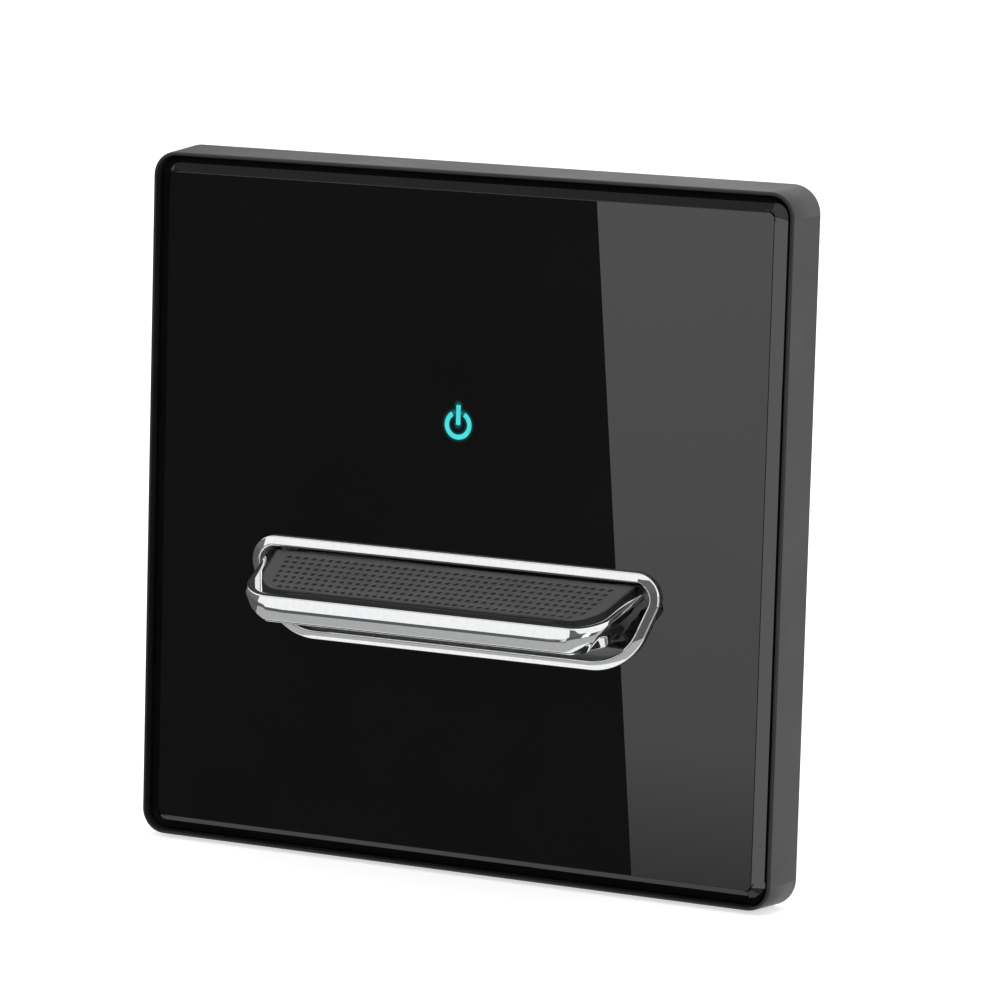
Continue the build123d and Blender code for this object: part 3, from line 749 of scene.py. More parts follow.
@dataclass
class Studio:
    """Camera, white floor, soft lamps and the boards that the glass and the chrome mirror."""

    camera_place: Point = (0.271383, -0.555999, 0.092348)
    camera_right: Point = (0.89819, 0.43874, 0.02770)
    camera_up: Point = (-0.08790, 0.11749, 0.98918)
    camera_forward: Point = (-0.43073, 0.89090, -0.14410)
    lens: float = 185.856
    floor_z: float = -43.0
    board_y: float = -2000.0
    board_low: float = -41.5
    board_fade: float = -24.0
    board_top: float = 41.5
    room_light: float = 0.55
    floor_colours: tuple[Colour, Colour] = ((0.72, 0.72, 0.72), (0.76, 0.76, 0.76))
    floor_raise: float = 0.62
    bevel_way: Point = (0.569, -0.808, -0.144)
    lamps: tuple[Lamp, ...] = (
        Lamp("lamp_left", (-0.9, -1.3, 0.9), 0.9, 9.0),
        Lamp("lamp_right", (1.2, -0.9, 0.7), 0.8, 3.5),
        Lamp("lamp_top", (0.1, 0.3, 1.5), 1.0, 8.0),
        Lamp("lamp_back", (0.5, 1.4, 0.8), 1.0, 7.0))
    flags: tuple[Flag, ...] = (
        Flag("flag_dark", 0.075, 2.4, -28.0, 5.0, -205.0, -20.0),
        Flag("flag_dark_right", 0.5, 2.5, -26.0, 3.0, -20.0, 35.0),
        Flag("flag_below", 0.40, 2.45, -43.0, -28.0, -205.0, 155.0),
        Flag("flag_corner", 0.10, 2.3, 5.0, 25.0, -110.0, -62.0),
        Flag("flag_left", 0.12, 2.3, 5.0, 25.0, -240.0, -140.0),
        Flag("flag_high", 0.35, 2.3, 36.5, 52.0, -150.0, -105.0))

    def build(self) -> None:
        """Sets up everything that isn't the switch."""
        scene = bpy.context.scene
        scene.view_settings.view_transform = "Standard"
        self._camera()
        self._world()
        self._floor()
        self._lamps()
        self._boards()

    def _camera(self) -> None:
        """The camera at the photograph's place and angle."""
        lens = bpy.data.cameras.new("camera")
        lens.lens = self.lens
        lens.sensor_width = 36.0
        lens.clip_start, lens.clip_end = 0.05, 60.0
        camera = bpy.data.objects.new("camera", lens)
        columns = Matrix((self.camera_right, self.camera_up, [-c for c in self.camera_forward]))
        camera.matrix_world = Matrix.Translation(self.camera_place) @ columns.transposed().to_4x4()
        bpy.context.scene.collection.objects.link(camera)
        bpy.context.scene.camera = camera

    def _world(self) -> None:
        """White room in the view, in metal and in glass; a plainer level for matt surfaces."""
        world = bpy.data.worlds.new("room")
        bpy.context.scene.world = world
        world.use_nodes = True
        tree = world.node_tree
        back = tree.nodes["Background"]
        back.inputs["Color"].default_value = (1, 1, 1, 1)
        path = tree.nodes.new("ShaderNodeLightPath")
        seen = path.outputs["Is Camera Ray"]
        for other in ("Is Glossy Ray", "Is Transmission Ray"):
            either = tree.nodes.new("ShaderNodeMath")
            either.operation = "MAXIMUM"
            tree.links.new(seen, either.inputs[0])
            tree.links.new(path.outputs[other], either.inputs[1])
            seen = either.outputs[0]
        level = tree.nodes.new("ShaderNodeMapRange")
        tree.links.new(seen, level.inputs["Value"])
        level.inputs["To Min"].default_value = self.room_light
        level.inputs["To Max"].default_value = 1.0
        tree.links.new(level.outputs[0], back.inputs["Strength"])

    def _floor(self) -> None:
        """Pale floor that reads white in the view and keeps the switch's shadow."""
        bm = bmesh.new()
        bmesh.ops.create_grid(bm, x_segments=1, y_segments=1, size=4.5)
        bmesh.ops.translate(bm, vec=(0, 0, self.floor_z * MM), verts=bm.verts)
        floor = as_object("floor", bm, self._floor_finish())
        floor.visible_glossy = False

    def _floor_finish(self) -> bpy.types.Material:
        """Matt white paint, raised to white where the camera looks at it."""
        work = Surface("floor_white")
        mottle = work.noise(120.0, 3.0)
        work.feed("Base Color", work.blend(work.between(mottle, 0.0, 1.0), *self.floor_colours))
        work.feed("Roughness", work.between(mottle, 0.85, 0.95))
        work.set("Specular IOR Level", 0.0)
        seen = work.node("ShaderNodeLightPath").outputs["Is Camera Ray"]
        work.set("Emission Color", WHITE)
        work.feed("Emission Strength", work.math("MULTIPLY", seen, self.floor_raise))
        return work.material

    def _lamps(self) -> None:
        """Broad lamps in front, above and behind, which metal and glass don't mirror."""
        for lamp in self.lamps:
            light = bpy.data.lights.new(lamp.name, "AREA")
            light.shape = "SQUARE"
            light.size = lamp.size
            light.energy = lamp.power
            made = bpy.data.objects.new(lamp.name, light)
            made.location = lamp.place
            made.rotation_euler = (-Vector(lamp.place)).to_track_quat("-Z", "Y").to_euler()
            made.visible_glossy = False
            bpy.context.scene.collection.objects.link(made)

    def _boards(self) -> None:
        """Dark flags for the glass and the chrome, soft boxes for the bright strip and the bevels."""
        self._strip_board(self._mirrored_eye())
        for flag in self.flags:
            self._curved_board(flag)
        self._bevel_board()

    def _mirrored_eye(self) -> Vector:
        """The camera's mirror image in the glass, in millimetres."""
        eye = Vector(self.camera_place) / MM
        eye.y = 2 * GLASS_Y - eye.y
        return eye

    def _through_glass(self, eye: Vector, x: float, z: float) -> Vector:
        """Where the line of sight that glances off the glass at a point meets the strip's board.

        Args:
            eye: the camera's mirror image.
            x: the point on the glass.
            z: the point on the glass.

        Returns:
            The place on the board, in metres.
        """
        point = Vector((x, GLASS_Y, z))
        share = (self.board_y - eye.y) / (point.y - eye.y)
        return (eye + (point - eye) * share) * MM

    def _strip_board(self, eye: Vector) -> None:
        """The soft box whose edge draws the slanted bright strip; the eye is the camera's mirror image."""
        bm = bmesh.new()
        bmesh.ops.create_grid(bm, x_segments=1, y_segments=1, size=1.0)
        glass = {(-1, -1): (25.25, -47.0), (1, -1): (47.5, -47.0),
                 (-1, 1): (16.77, 47.0), (1, 1): (47.5, 47.0)}
        for vert in bm.verts:
            vert.co = self._through_glass(eye, *glass[(round(vert.co.x), round(vert.co.y))])
        low, high, top = (self._through_glass(eye, 25.0, z).z
                          for z in (self.board_low, self.board_fade, self.board_top))
        work = self._glow("board_strip")
        height = work.apart(work.place)["Z"]
        fade = work.between(height, 0.72, 1.45, low, high)
        rise = work.between(height, 0.0, 0.35, high, top)
        work.feed("Emission Strength", work.math("ADD", fade, rise))
        self._board("board_strip", bm, work)

    def _bevel_board(self) -> None:
        """The soft box that the right-hand bevel mirrors."""
        way = Vector(self.bevel_way)
        bm = bmesh.new()
        bmesh.ops.create_grid(bm, x_segments=1, y_segments=1, size=0.33)
        bmesh.ops.scale(bm, vec=(1.0, 1.5, 1.0), verts=bm.verts)
        turn = way.to_track_quat("Z", "Y").to_matrix()
        bmesh.ops.rotate(bm, cent=(0, 0, 0), matrix=turn, verts=bm.verts)
        bmesh.ops.translate(bm, vec=way * 2.0, verts=bm.verts)
        self._board("board_bevel", bm, self._glow("board_bevel", 2.2))

    def _curved_board(self, flag: Flag) -> None:
        """Sweeps a flag round the switch."""
        bm = bmesh.new()
        ends = [bm.verts.new((flag.radius, 0, flag.radius * math.tan(math.radians(a))))
                for a in (flag.low, flag.high)]
        line = [*ends, bm.edges.new(ends)]
        turn = Matrix.Rotation(math.radians(flag.start), 3, "Z")
        bmesh.ops.rotate(bm, cent=(0, 0, 0), matrix=turn, verts=ends)
        turn_round(bm, line, (0, 0, 0), (0, 0, 1), flag.end - flag.start, 32)
        self._board(flag.name, bm, self._glow(flag.name, flag.level))

    def _glow(self, name: str, level: float = 0.0) -> Surface:
        """The material of a board, with its own even light."""
        work = Surface(name)
        work.set("Base Color", BLACK)
        work.set("Emission Color", WHITE)
        work.set("Emission Strength", level)
        return work

    def _board(self, name: str, bm: bmesh.types.BMesh, work: Surface) -> None:
        """Adds a board that only reflections show.

        Args:
            name: its name.
            bm: the mesh, which is used up.
            work: its light.
        """
        board = as_object(name, bm, work.material)
        for ray in ("camera", "diffuse", "transmission", "volume_scatter", "shadow"):
            setattr(board, "visible_" + ray, False)


SLOT_LEAN = 24.0
SLOT_STEPS = (30, 40)
RIM_OUTLINE = Outline.leaning((18.55, -8.05, 7.8), (24.25, -6.55, 3.2), SLOT_LEAN, SLOT_STEPS)
RIM_WIDTH = 1.35


@dataclass
class CoverPlate:
    """Moulded frame and bevelled glass, with the tape between them."""

    glass_half: float = 41.76
    glass_corner: float = 2.26
    bevel_width: float = 1.7
    bevel_depth: float = 1.0
    ground: float = 0.05
    slot_inset: float = 0.66
    symbol_z: float = 12.1
    symbol_ring: float = 1.5
    symbol_stroke: float = 0.6
    symbol_opening: float = 31.6
    symbol_bar: tuple[float, float, float] = (0.30, -0.02, 2.37)
    frame_plastic: MouldedPlastic = MouldedPlastic("frame_black", (0.016, 0.0165, 0.018), 0.42)
    glass: BackPaintedGlass = BackPaintedGlass(
        "glass_black", (0.0016, 0.0017, 0.0019), (0.02, 0.42, 0.45), (0.0, 0.0, 0.0121), 1.5, 2.35)
    tape: FoamTape = FoamTape("tape_grey", (0.25, 0.25, 0.26))

    def build(self) -> None:
        """Dresses the frame and the tape, and grinds the glass."""
        soften_edges(dress("panel_frame", self.frame_plastic.material()), 0.12)
        self._glass()
        dress("glass_tape", self.tape.material())

    def _glass(self) -> None:
        """Fills the face round the slot and the symbol, and gives it its bevel and thickness."""
        bm = bmesh.new()
        centre = self.glass_half - self.glass_corner
        radius = self.glass_corner - self.bevel_width
        edge = Outline.leaning((centre, -centre, radius), (centre, centre, radius), 0.0, (8, 8))
        edge.draw(bm, 0.0, GLASS_Y)
        rim = list(bm.verts)
        RIM_OUTLINE.draw(bm, self.slot_inset, GLASS_Y)
        self._symbol(bm)
        bmesh.ops.remove_doubles(bm, verts=bm.verts, dist=MERGE)
        rim = [v for v in rim if v.is_valid]
        lines = list(bm.edges)
        filled = bmesh.ops.triangle_fill(bm, use_beauty=True, use_dissolve=False, edges=lines)["geom"]
        middle = self._thicken(bm, only(bmesh.types.BMFace, filled), self.bevel_depth)
        for vert in only(bmesh.types.BMVert, middle):
            if max(abs(vert.co.x), abs(vert.co.z)) > centre:
                hub = Vector((clamp(vert.co.x, centre), vert.co.y, clamp(vert.co.z, centre)))
                vert.co = hub + (vert.co - hub) * (self.glass_corner / radius)
        self._thicken(bm, only(bmesh.types.BMFace, middle), GLASS_BACK_Y - GLASS_Y - self.bevel_depth)
        self._grind(bm, centre)
        make_piece("glass_face", bm, self.glass.material(), Body.ROOT, ["glass_panel"], 0.004)

    def _thicken(self, bm: bmesh.types.BMesh, faces: list[bmesh.types.BMFace], depth: float) -> list:
        """Extrudes faces backwards and returns what that made."""
        made = bmesh.ops.extrude_face_region(bm, geom=faces)["geom"]
        bmesh.ops.translate(bm, vec=(0, depth, 0), verts=only(bmesh.types.BMVert, made))
        return made

    def _grind(self, bm: bmesh.types.BMesh, centre: float) -> None:
        """Takes the knife edge off the glass's rim.

        Args:
            bm: the glass.
            centre: distance of the corners' centres from the middle.
        """
        rims = []
        for edge in bm.edges:
            first, second = (v.co for v in edge.verts)
            level = abs(first.y - second.y) < 0.01 and first.y < GLASS_BACK_Y - 0.1
            if level and all(max(abs(c.x), abs(c.z)) > centre for c in (first, second)):
                rims.append(edge)
        bmesh.ops.bevel(bm, geom=rims, offset=self.ground, offset_type="OFFSET", segments=2, profile=0.5,
                        affect="EDGES", material=-1)

    def _symbol(self, bm: bmesh.types.BMesh) -> None:
        """Draws the symbol's window: a ring open at the top, and a bar."""
        turn = 360 - 2 * self.symbol_opening
        ends = []
        for half in (-0.5, 0.5):
            first = bm.verts.new((0, GLASS_Y, self.symbol_ring + half * self.symbol_stroke))
            bmesh.ops.rotate(bm, cent=(0, 0, 0), verts=[first],
                             matrix=Matrix.Rotation(math.radians(self.symbol_opening), 3, (0, -1, 0)))
            bmesh.ops.translate(bm, vec=(0, 0, self.symbol_z), verts=[first])
            last = turn_round(bm, [first], (0, 0, self.symbol_z), (0, -1, 0), turn, 40)
            ends.append((first, only(bmesh.types.BMVert, last)[0]))
        for inner, outer in zip(*ends):
            bm.edges.new((inner, outer))
        half, low, high = self.symbol_bar
        bar = [bm.verts.new((x, GLASS_Y, self.symbol_z + z))
               for x, z in ((-half, low), (half, low), (half, high), (-half, high))]
        for first, second in zip(bar, (*bar[1:], bar[0])):
            bm.edges.new((first, second))


@dataclass
class Bezel:
    """Chrome rim round the key's slot: a crest near its inner edge and a long outer slope."""

    crest: tuple[float, float] = (0.20, 0.92)
    width: float = 1.25
    inner_edge: float = 0.78
    outer_edge: float = 0.56
    sleeve: float = 0.6
    rounds: tuple[float, ...] = (0.0, 0.08, 0.10, 0.2, 0.0, 0.0, 0.0)
    back_y: float = -2.9
    hole_centre: tuple[float, float] = (21.0, -9.55)
    hole_radius: float = 5.8
    chrome: Chrome = Chrome("bezel_chrome", satin_y=-7.0, satin=0.38)

    def build(self) -> None:
        """Sweeps the rim's section round the slot, and the retaining sleeve behind the glass."""
        bm = bmesh.new()
        reach, crest_out = self.crest
        rim = [(0.0, GLASS_BACK_Y), (0.0, GLASS_Y - self.inner_edge), (reach, GLASS_Y - crest_out),
               (self.width, GLASS_Y - self.outer_edge), (self.width, GLASS_Y), (self.sleeve, GLASS_Y),
               (self.sleeve, GLASS_BACK_Y)]
        self._sweep(bm, RIM_OUTLINE, RIM_WIDTH, rim, self.rounds)
        hole = (*self.hole_centre, self.hole_radius)
        sleeve = [(0.0, self.back_y), (0.0, GLASS_BACK_Y), (self.sleeve, GLASS_BACK_Y),
                  (self.sleeve, self.back_y)]
        self._sweep(bm, Outline.leaning(hole, hole, 0.0, (24, 24)), self.sleeve, sleeve, [0.0] * 4)
        make_piece("bezel_rim", bm, self.chrome.material(), Body.ROOT, ["lever_bezel"])

    def _sweep(self, bm: bmesh.types.BMesh, path: Outline, width: float,
               section: Sequence[tuple[float, float]], rounds: Sequence[float]) -> None:
        """Sweeps a section round an outline and adds it to a mesh.

        Args:
            bm: the mesh.
            path: the outline.
            width: distance from the outline to the section's inner side.
            section: distance outward from the inner side, and Y, of the section's corners.
            rounds: how far each corner is rounded.
        """
        part = bmesh.new()
        x, _, z = path.start(width, 0.0)
        chain(part, [(x, y, z - out) for out, y in section], rounds, 7)
        part.edges.new([v for v in part.verts if len(v.link_edges) == 1])
        path.carry(part, [*part.verts, *part.edges])
        bmesh.ops.remove_doubles(part, verts=part.verts, dist=MERGE)
        bmesh.ops.recalc_face_normals(part, faces=part.faces)
        swept = bpy.data.meshes.new("swept")
        part.to_mesh(swept)
        part.free()
        bm.from_mesh(swept)
        bpy.data.meshes.remove(swept)


@dataclass(frozen=True)
class Station:
    """A place on the key's plan outline, and how the section is formed there."""

    x: float
    out: float
    way_x: float
    way_out: float
    ridge: float
    ridge_drop: float
    crease_drop: float
    undercut: float
    lean: float
    top_inset: float


@dataclass
class KeyShell:
    """Chromed key: sloping top, two-faced nose that runs out at the corners, undercut sides."""

    nose_out: float = 10.32
    side_half: float = 25.56
    taper: float = 0.177
    corner: float = 4.5
    slot_y: float = -5.6
    neck_y: float = -4.45
    back_y: float = -3.5
    top_root: float = -5.5
    top_slope: float = 0.36
    bottom: float = -12.4
    edge: float = 0.30
    ridge_round: float = 1.1
    crease_round: float = 0.12
    side_round: float = 50.0
    foot: float = 0.35
    sole: float = 1.2
    bow: float = 0.06
    top_inset: float = 1.8
    root_inset: float = 3.9
    neck_centre: tuple[float, float] = (21.925, -8.975)
    neck_radius: float = 3.475
    pivot: tuple[float, float] = (2.6, -8.975)
    press: float = 9.0
    clearance: float = 0.25
    let_out: tuple[float, float] = (1.05, 1.5)
    corner_steps: int = 26
    side_steps: int = 12
    chrome: Chrome = Chrome("key_chrome")

    # angle round the corner; ridge's reach and drop, crease's drop, undercut, lower facet's slope
    form: tuple[tuple[float, ...], ...] = (
        (-3.0, 0.30, 1.60, 2.88, 0.50, 0.27), (0.0, 0.30, 1.45, 2.88, 0.50, 0.27),
        (2.0, 0.30, 1.22, 2.88, 0.50, 0.27), (7.7, 0.30, 1.08, 2.83, 0.60, 0.27),
        (15.0, 0.30, 0.95, 2.58, 1.05, 0.27), (26.0, 0.30, 0.83, 2.20, 1.80, 0.27),
        (36.0, 0.30, 0.77, 1.75, 2.35, 0.27), (46.0, 0.29, 0.73, 1.28, 2.80, 0.27),
        (56.0, 0.26, 0.62, 0.88, 3.10, 0.27), (65.0, 0.12, 0.48, 0.74, 3.40, 0.42),
        (72.0, -0.06, 0.56, 0.86, 3.48, 0.60), (80.0, -0.22, 0.62, 0.98, 3.50, 0.72))

    def top_at(self, out: float) -> float:
        """Height of the sloping top at a distance in front of the glass."""
        return self.top_root - self.top_slope * max(out, 0.0)

    def _formed(self, angle: float) -> tuple[float, ...]:
        """The section's measures at an angle round the corner, between the table's rows."""
        for before, after in zip(self.form, self.form[1:]):
            if angle <= after[0]:
                share = max(0.0, (angle - before[0]) / (after[0] - before[0]))
                return tuple(a + (b - a) * share for a, b in zip(before[1:], after[1:]))
        return self.form[-1][1:]

    def stations(self) -> list[Station]:
        """Places along the right half of the key's outline, from the middle of the nose."""
        lean = math.atan(self.taper)
        last = math.pi / 2 - lean
        hub_out = self.nose_out - self.corner
        hub_x = self.side_half - self.taper * hub_out - self.corner / math.cos(lean)
        nose = ((0.0, -3.0), (9.0, -3.0), (hub_x - 2.2, -3.0), (hub_x - 0.9, -1.5))
        found = [Station(x, self.nose_out, 0.0, 1.0, *self._formed(angle), self.top_inset)
                 for x, angle in nose]
        for step in range(self.corner_steps + 1):
            angle = last * step / self.corner_steps
            way = (math.sin(angle), math.cos(angle))
            found.append(Station(hub_x + self.corner * way[0], hub_out + self.corner * way[1], *way,
                                 *self._formed(math.degrees(angle)), self.top_inset))
        side, side_out = self.form[-1][1:], found[-1].out
        for step in range(1, self.side_steps + 1):
            share = step / self.side_steps
            out = side_out * (1 - share)
            inset = self.top_inset + (self.root_inset - self.top_inset) * share
            found.append(Station(self.side_half - self.taper * out, out, math.cos(lean), math.sin(lean),
                                 *side, inset))
        for y in (self.slot_y, self.neck_y, self.neck_y + 0.12, self.back_y):
            found.append(Station(self.side_half, GLASS_Y - y, 1.0, 0.0, *side, self.root_inset))
        return found

    def section(self, place: Station) -> list[Vector]:
        """The key's edge section at a place on its outline.

        Args:
            place: the station.

        Returns:
            The section's points, in millimetres.
        """
        brow = self.top_at(place.out)
        crease = place.ridge - place.lean * (place.crease_drop - place.ridge_drop)
        low = self.bottom - brow
        middle = ((crease - place.undercut) / 2, (low - place.crease_drop) / 2)
        span = math.hypot(crease + place.undercut, low + place.crease_drop)
        inner = self.top_at(place.out - place.way_out * place.top_inset) - brow
        corners = [
            ((-place.top_inset, inner), 0.0, 0),
            ((0.0, 0.0), self.edge, 10),
            ((place.ridge, -place.ridge_drop), self.ridge_round, 8),
            ((crease, -place.crease_drop), self.crease_round, 4),
            ((middle[0] - self.bow * span, middle[1] + self.bow * span), self.side_round, 8),
            ((-place.undercut, low), self.foot, 8),
            ((-place.undercut - self.sole, low), 0.0, 0),
        ]
        points = []
        for reach, rise in round_off(corners):
            x, out = place.x + place.way_x * reach, place.out + place.way_out * reach
            points.append(self._necked(Vector((x, GLASS_Y - out, brow + rise))))
        return points

    def _necked(self, point: Vector) -> Vector:
        """Draws a point behind the glass in to the key's round-ended root."""
        if point.y > self.neck_y + 0.05:
            centre = Vector((min(point.x, self.neck_centre[0]), point.y, self.neck_centre[1]))
            away = point - centre
            if away.length > self.neck_radius:
                return centre + away.normalized() * self.neck_radius
        return self._cleared(point)

    def _cleared(self, point: Vector) -> Vector:
        """Draws a point of the foot in, so that the pressed key passes the rim's lower corners."""
        rim = RIM_OUTLINE.corners[0]
        past, growth = self.let_out
        turn = math.radians(self.press)
        arm = (point.y - self.pivot[0], point.z - self.pivot[1])
        pressed_y = self.pivot[0] + arm[0] * math.cos(turn) - arm[1] * math.sin(turn)
        pressed_z = self.pivot[1] + arm[0] * math.sin(turn) + arm[1] * math.cos(turn)
        away = Vector((point.x - rim.x, pressed_z - rim.z))
        room = rim.radius - RIM_WIDTH - self.clearance + growth * max(0.0, GLASS_Y - past - pressed_y)
        if away.x < 0 or away.y > 0 or away.length < room:
            return point
        drawn = away.normalized() * room
        return Vector((rim.x + drawn.x, point.y, point.z + (drawn.y - away.y) / math.cos(turn)))

    def build(self) -> None:
        """Draws the section, carries it along the outline, mirrors it and closes top and bottom."""
        bm = bmesh.new()
        places = self.stations()
        verts = [bm.verts.new(p) for p in self.section(places[0])]
        edges = [bm.edges.new(pair) for pair in zip(verts, verts[1:])]
        for station in places[1:]:
            made = bmesh.ops.extrude_edge_only(bm, edges=edges)["geom"]
            fresh = set(only(bmesh.types.BMVert, made))
            edges = [e for e in only(bmesh.types.BMEdge, made) if set(e.verts) <= fresh]
            verts = [next(e.other_vert(v) for e in v.link_edges if e.other_vert(v) in fresh) for v in verts]
            for vert, place in zip(verts, self.section(station)):
                vert.co = place
        bmesh.ops.mirror(bm, geom=[*bm.verts, *bm.edges, *bm.faces], matrix=Matrix.Identity(4),
                         merge_dist=0.001, axis="X")
        bmesh.ops.remove_doubles(bm, verts=bm.verts, dist=0.001)
        bmesh.ops.holes_fill(bm, edges=outer_loop(bm), sides=0)
        brow = [v for v in bm.verts if abs(v.co.y - GLASS_Y) < 0.001 and v.co.z > self.top_root - 0.001]
        bmesh.ops.connect_verts(bm, verts=sorted(brow, key=lambda v: abs(v.co.x))[:2])
        make_piece("key_shell", bm, self.chrome.material(), Body.KEY, ["key_body"], 3.0)


@dataclass
class KeyPad:
    """Soft pad on the key's top, with rows of pressed dimples."""

    columns: int = 39
    pitch: float = 1.147
    row_places: tuple[float, ...] = (1.67, 2.75, 3.85, 4.95, 6.0, 7.05, 8.22)
    back: float = 0.35
    front: float = 9.0
    half: float = 24.15
    lean: float = 0.19
    corner: float = 3.6
    rise: tuple[float, float] = (0.50, -0.027)
    skirt: float = 0.40
    dimple: float = 0.35
    end_start: float = 22.6
    end_drop: float = 0.03
    rim_round: float = 0.12
    rim_gap: float = 0.36
    presses: tuple[tuple[float, float], ...] = ((0.03, 0.04), (0.03, 0.18))
    key: KeyShell = field(default_factory=KeyShell)
    rubber: SoftTouch = SoftTouch("pad_black", (0.082, 0.082, 0.086), (0.0, GLASS_Y, -5.0), 0.387)

    def half_at(self, out: float) -> float:
        """Half the pad's width at a distance in front of the glass."""
        side = self.half - self.lean * out
        into = out - (self.front - self.corner)
        if into <= 0:
            return side
        return side - self.corner + math.sqrt(max(self.corner ** 2 - into ** 2, 0.0))

    def build(self) -> None:
        """Makes a grid, presses the dimples, bends it to the pad's outline and gives it a skirt."""
        bm = bmesh.new()
        lines = self._row_lines()
        side = self._column_lines()
        bmesh.ops.create_grid(bm, x_segments=len(side) - 1, y_segments=len(lines) - 1, size=1.0)
        first_column = (len(side) - self.columns) // 2
        dimples = []
        for vert in bm.verts:
            column = round((vert.co.x + 1) / 2 * (len(side) - 1))
            row = round((vert.co.y + 1) / 2 * (len(lines) - 1))
            vert.co = (side[column], lines[row], 0.0)
            margin = first_column + (lines[row] == self.row_places[-1])
            if lines[row] in self.row_places and margin <= column < len(side) - margin:
                dimples.append(vert)
        self._press(bm, dimples)
        self._skirt(bm)
        for vert in bm.verts:
            vert.co = self._bent(vert.co)
        make_piece("pad_skin", bm, self.rubber.material(), Body.KEY, ["key_pad"])

    def _row_lines(self) -> list[float]:
        """Distances from the glass of the grid's lines."""
        gap = self.front - self.row_places[-1] - self.rim_gap
        front = [self.front - gap * share for share in (1.0, 0.7, 0.4, 0.18, 0.05, 0.0)]
        return [self.back, self.back + 0.15, (self.back + self.row_places[0]) / 2, *self.row_places, *front]

    def _column_lines(self) -> list[float]:
        """X of the grid's lines."""
        dotted = [(column - (self.columns - 1) / 2) * self.pitch for column in range(self.columns)]
        edge = dotted[-1]
        end = [edge + (self.half - edge) * share for share in (0.3, 0.5, 0.7, 0.86, 0.95, 1.0)]
        return [*[-x for x in reversed(end)], *dotted, *end]

    def _press(self, bm: bmesh.types.BMesh, dimples: list[bmesh.types.BMVert]) -> None:
        """Opens a round face at each marked place and presses it down in steps.

        Args:
            bm: the flat grid.
            dimples: the places.
        """
        count = len(dimples)
        made = bmesh.ops.bevel(bm, geom=dimples, offset=self.dimple, offset_type="OFFSET", segments=1,
                               profile=0.5, affect="VERTICES", material=-1)["faces"]
        rounds = [f for f in made if len(f.verts) == 4]
        bmesh.ops.bisect_edges(bm, edges=list({e for f in rounds for e in f.edges}), cuts=2)
        for face in rounds:
            middle = face.calc_center_median()
            for vert in face.verts:
                vert.co = middle + (vert.co - middle).normalized() * self.dimple
        LOG.info("dimples: %d of %d", len(rounds), count)
        for inset, depth in self.presses:
            bmesh.ops.inset_individual(bm, faces=rounds, thickness=inset, depth=0.0)
            moved = list({v for f in rounds for v in f.verts})
            bmesh.ops.translate(bm, vec=(0, 0, -depth), verts=moved)

    def _skirt(self, bm: bmesh.types.BMesh) -> None:
        """Turns the grid's outer edge down on to the key, with a rounded rim."""
        rim = outer_loop(bm)
        made = bmesh.ops.extrude_edge_only(bm, edges=rim)["geom"]
        bmesh.ops.translate(bm, vec=(0, 0, -self.skirt), verts=only(bmesh.types.BMVert, made))
        bmesh.ops.bevel(bm, geom=rim, offset=self.rim_round, offset_type="OFFSET", segments=3, profile=0.5,
                        affect="EDGES", material=-1)

    def _bent(self, flat: Vector) -> Vector:
        """Where a point of the flat grid lies on the key.

        Args:
            flat: X, distance from the glass and height of the point on the flat grid.

        Returns:
            Its place, in millimetres.
        """
        edge = (self.columns - 1) / 2 * self.pitch
        width = self.half_at(flat.y)
        inner = min(edge * (self.half - self.lean * flat.y) / self.half, width * 0.965)
        reach = abs(flat.x)
        if reach <= edge:
            x = reach * inner / edge
        else:
            x = inner + (reach - edge) * (width - inner) / (self.half - edge)
        over = max(reach - self.end_start, 0.0) / (self.half - self.end_start)
        rise = self.rise[0] + self.rise[1] * flat.y - self.end_drop * over ** 2
        height = self.key.top_at(flat.y) + rise + flat.z
        return Vector((math.copysign(x, flat.x), GLASS_Y - flat.y, height))


@dataclass
class Module:
    """Housing halves, partition, yoke and screws that stand in the wall box."""

    shell: MouldedPlastic = MouldedPlastic("module_white", (0.62, 0.62, 0.60), 0.42, 0.05)
    plate: MouldedPlastic = MouldedPlastic("partition_white", (0.60, 0.60, 0.56), 0.5, 0.05)
    steel: PlatedMetal = PlatedMetal(
        "yoke_steel", (0.62, 0.62, 0.60), (0.42, 0.40, 0.36), 0.34, Spread.ALONG_X)
    screw: PlatedMetal = PlatedMetal("screw_steel", (0.66, 0.65, 0.62), (0.45, 0.40, 0.30), 0.28)

    def build(self) -> None:
        """Dresses the module's pieces."""
        shell = self.shell.material()
        soften_edges(dress("module_base", shell), 0.12, 35.0, 1)
        soften_edges(dress("rear_housing", shell), 0.12, 35.0, 1)
        dress("partition", self.plate.material())
        soften_edges(dress("mounting_yoke", self.steel.material()), 0.10, 35.0, 1)
        screws = self.screw.material()
        for node in ("case_screws", "board_screws", "key_screws", "terminal_screws"):
            dress(node, screws)


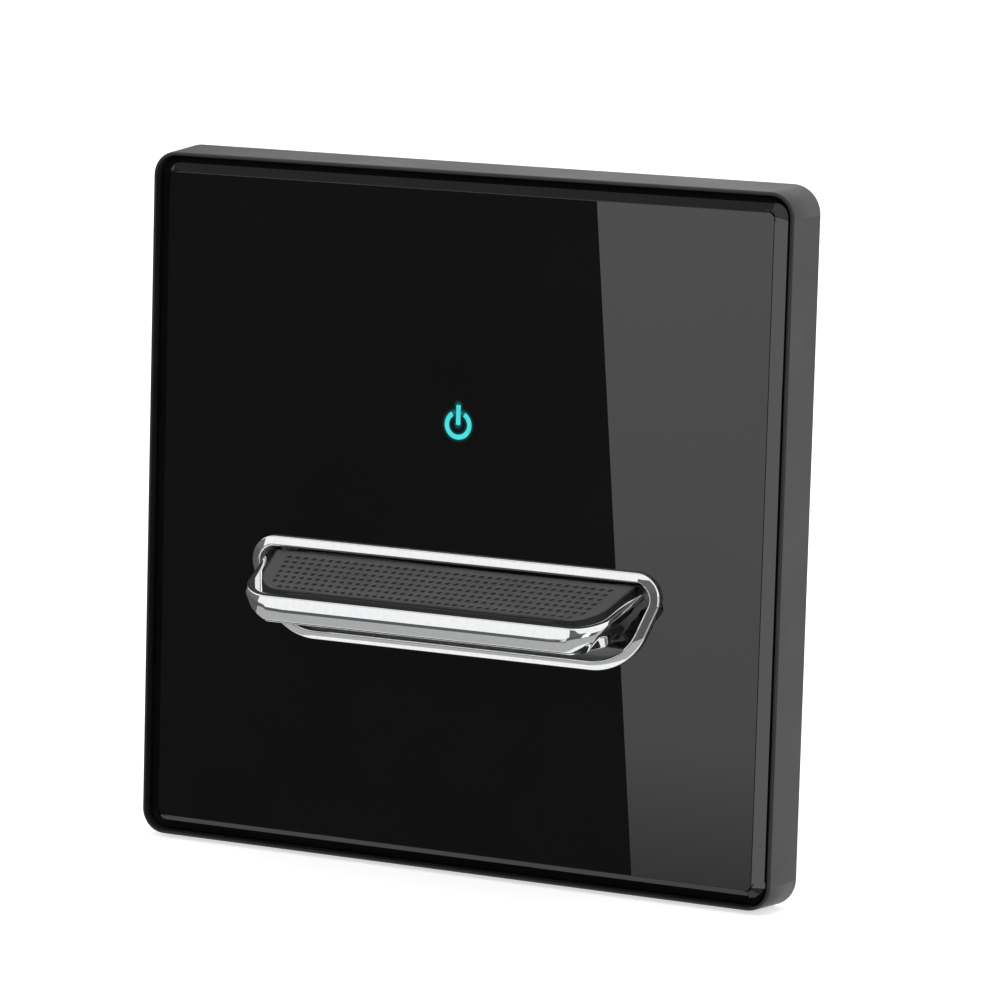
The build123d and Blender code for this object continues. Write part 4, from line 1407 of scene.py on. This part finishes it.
@dataclass
class Mechanism:
    """Carrier, pin, springs, slider and the contacts that they work."""

    carrier: MouldedPlastic = MouldedPlastic("carrier_black", (0.03, 0.03, 0.032), 0.5)
    slider: MouldedPlastic = MouldedPlastic("slider_grey", (0.35, 0.36, 0.37), 0.45)
    pin: PlatedMetal = PlatedMetal("pin_steel", (0.60, 0.60, 0.60), (0.45, 0.44, 0.42), 0.22, Spread.ALONG_X)
    spring: PlatedMetal = PlatedMetal("spring_steel", (0.55, 0.54, 0.52), (0.35, 0.33, 0.30), 0.3)
    copper: PlatedMetal = PlatedMetal(
        "contact_copper", (0.80, 0.42, 0.28), (0.40, 0.20, 0.12), 0.3, Spread.ALONG_X)
    silver: PlatedMetal = PlatedMetal("contact_silver", (0.86, 0.85, 0.82), (0.55, 0.50, 0.42), 0.25)
    strip: PlatedMetal = PlatedMetal(
        "strip_brass", (0.78, 0.60, 0.28), (0.45, 0.32, 0.14), 0.3, Spread.ALONG_Z)
    block: PlatedMetal = PlatedMetal(
        "terminal_brass", (0.80, 0.62, 0.30), (0.48, 0.34, 0.15), 0.26, Spread.ALONG_Y)

    def build(self) -> None:
        """Dresses the mechanism's pieces."""
        for finish, nodes in (
            (self.carrier, ("key_carrier",)),
            (self.slider, ("slider",)),
            (self.pin, ("pivot_pin", "rocker_pin", "board_pins")),
            (self.spring, ("return_spring_right", "return_spring_left")),
            (self.copper, ("contact_rocker",)),
            (self.silver, ("rocker_tips", "fixed_tips")),
            (self.strip, ("line_strip_right", "line_strip_left", "common_strip")),
            (self.block, ("terminal_left", "terminal_common", "terminal_right")),
        ):
            material = finish.material()
            for node in nodes:
                dress(node, material)


@dataclass
class Indicator:
    """Lit symbol, its lamp and the board that feeds it."""

    guide: LitGuide = LitGuide("guide_cyan", (0.052, 0.68, 0.70), GLASS_Y)
    lamp: LampLens = LampLens("led_lens", (0.10, 0.75, 0.80), (0.55, 0.70, 0.70))
    board: CircuitMask = CircuitMask(
        "board_green", (0.02, 0.16, 0.06), (0.05, 0.26, 0.10), (0.05, 0.20, 0.09))

    def build(self) -> None:
        """Dresses the indicator's pieces."""
        dress("light_guide", self.guide.material())
        dress("indicator_led", self.lamp.material())
        dress("indicator_board", self.board.material())
        low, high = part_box("led_resistor")
        chip = ChipCeramic("resistor_body", (0.012, 0.012, 0.013), (0.75, 0.74, 0.71),
                           tuple((low + high) / 2), (high.x - low.x) / 2 / MM - 0.6)
        dress("led_resistor", chip.material())


def main() -> None:
    """Builds the studio and the switch, piece by piece."""
    logging.basicConfig(level=logging.INFO, format="%(message)s")
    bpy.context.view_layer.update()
    Studio().build()
    for part in (CoverPlate(), Bezel(), KeyShell(), KeyPad(), Module(), Mechanism(), Indicator()):
        LOG.info("building %s", type(part).__name__)
        part.build()


if __name__ == "__main__":
    main()
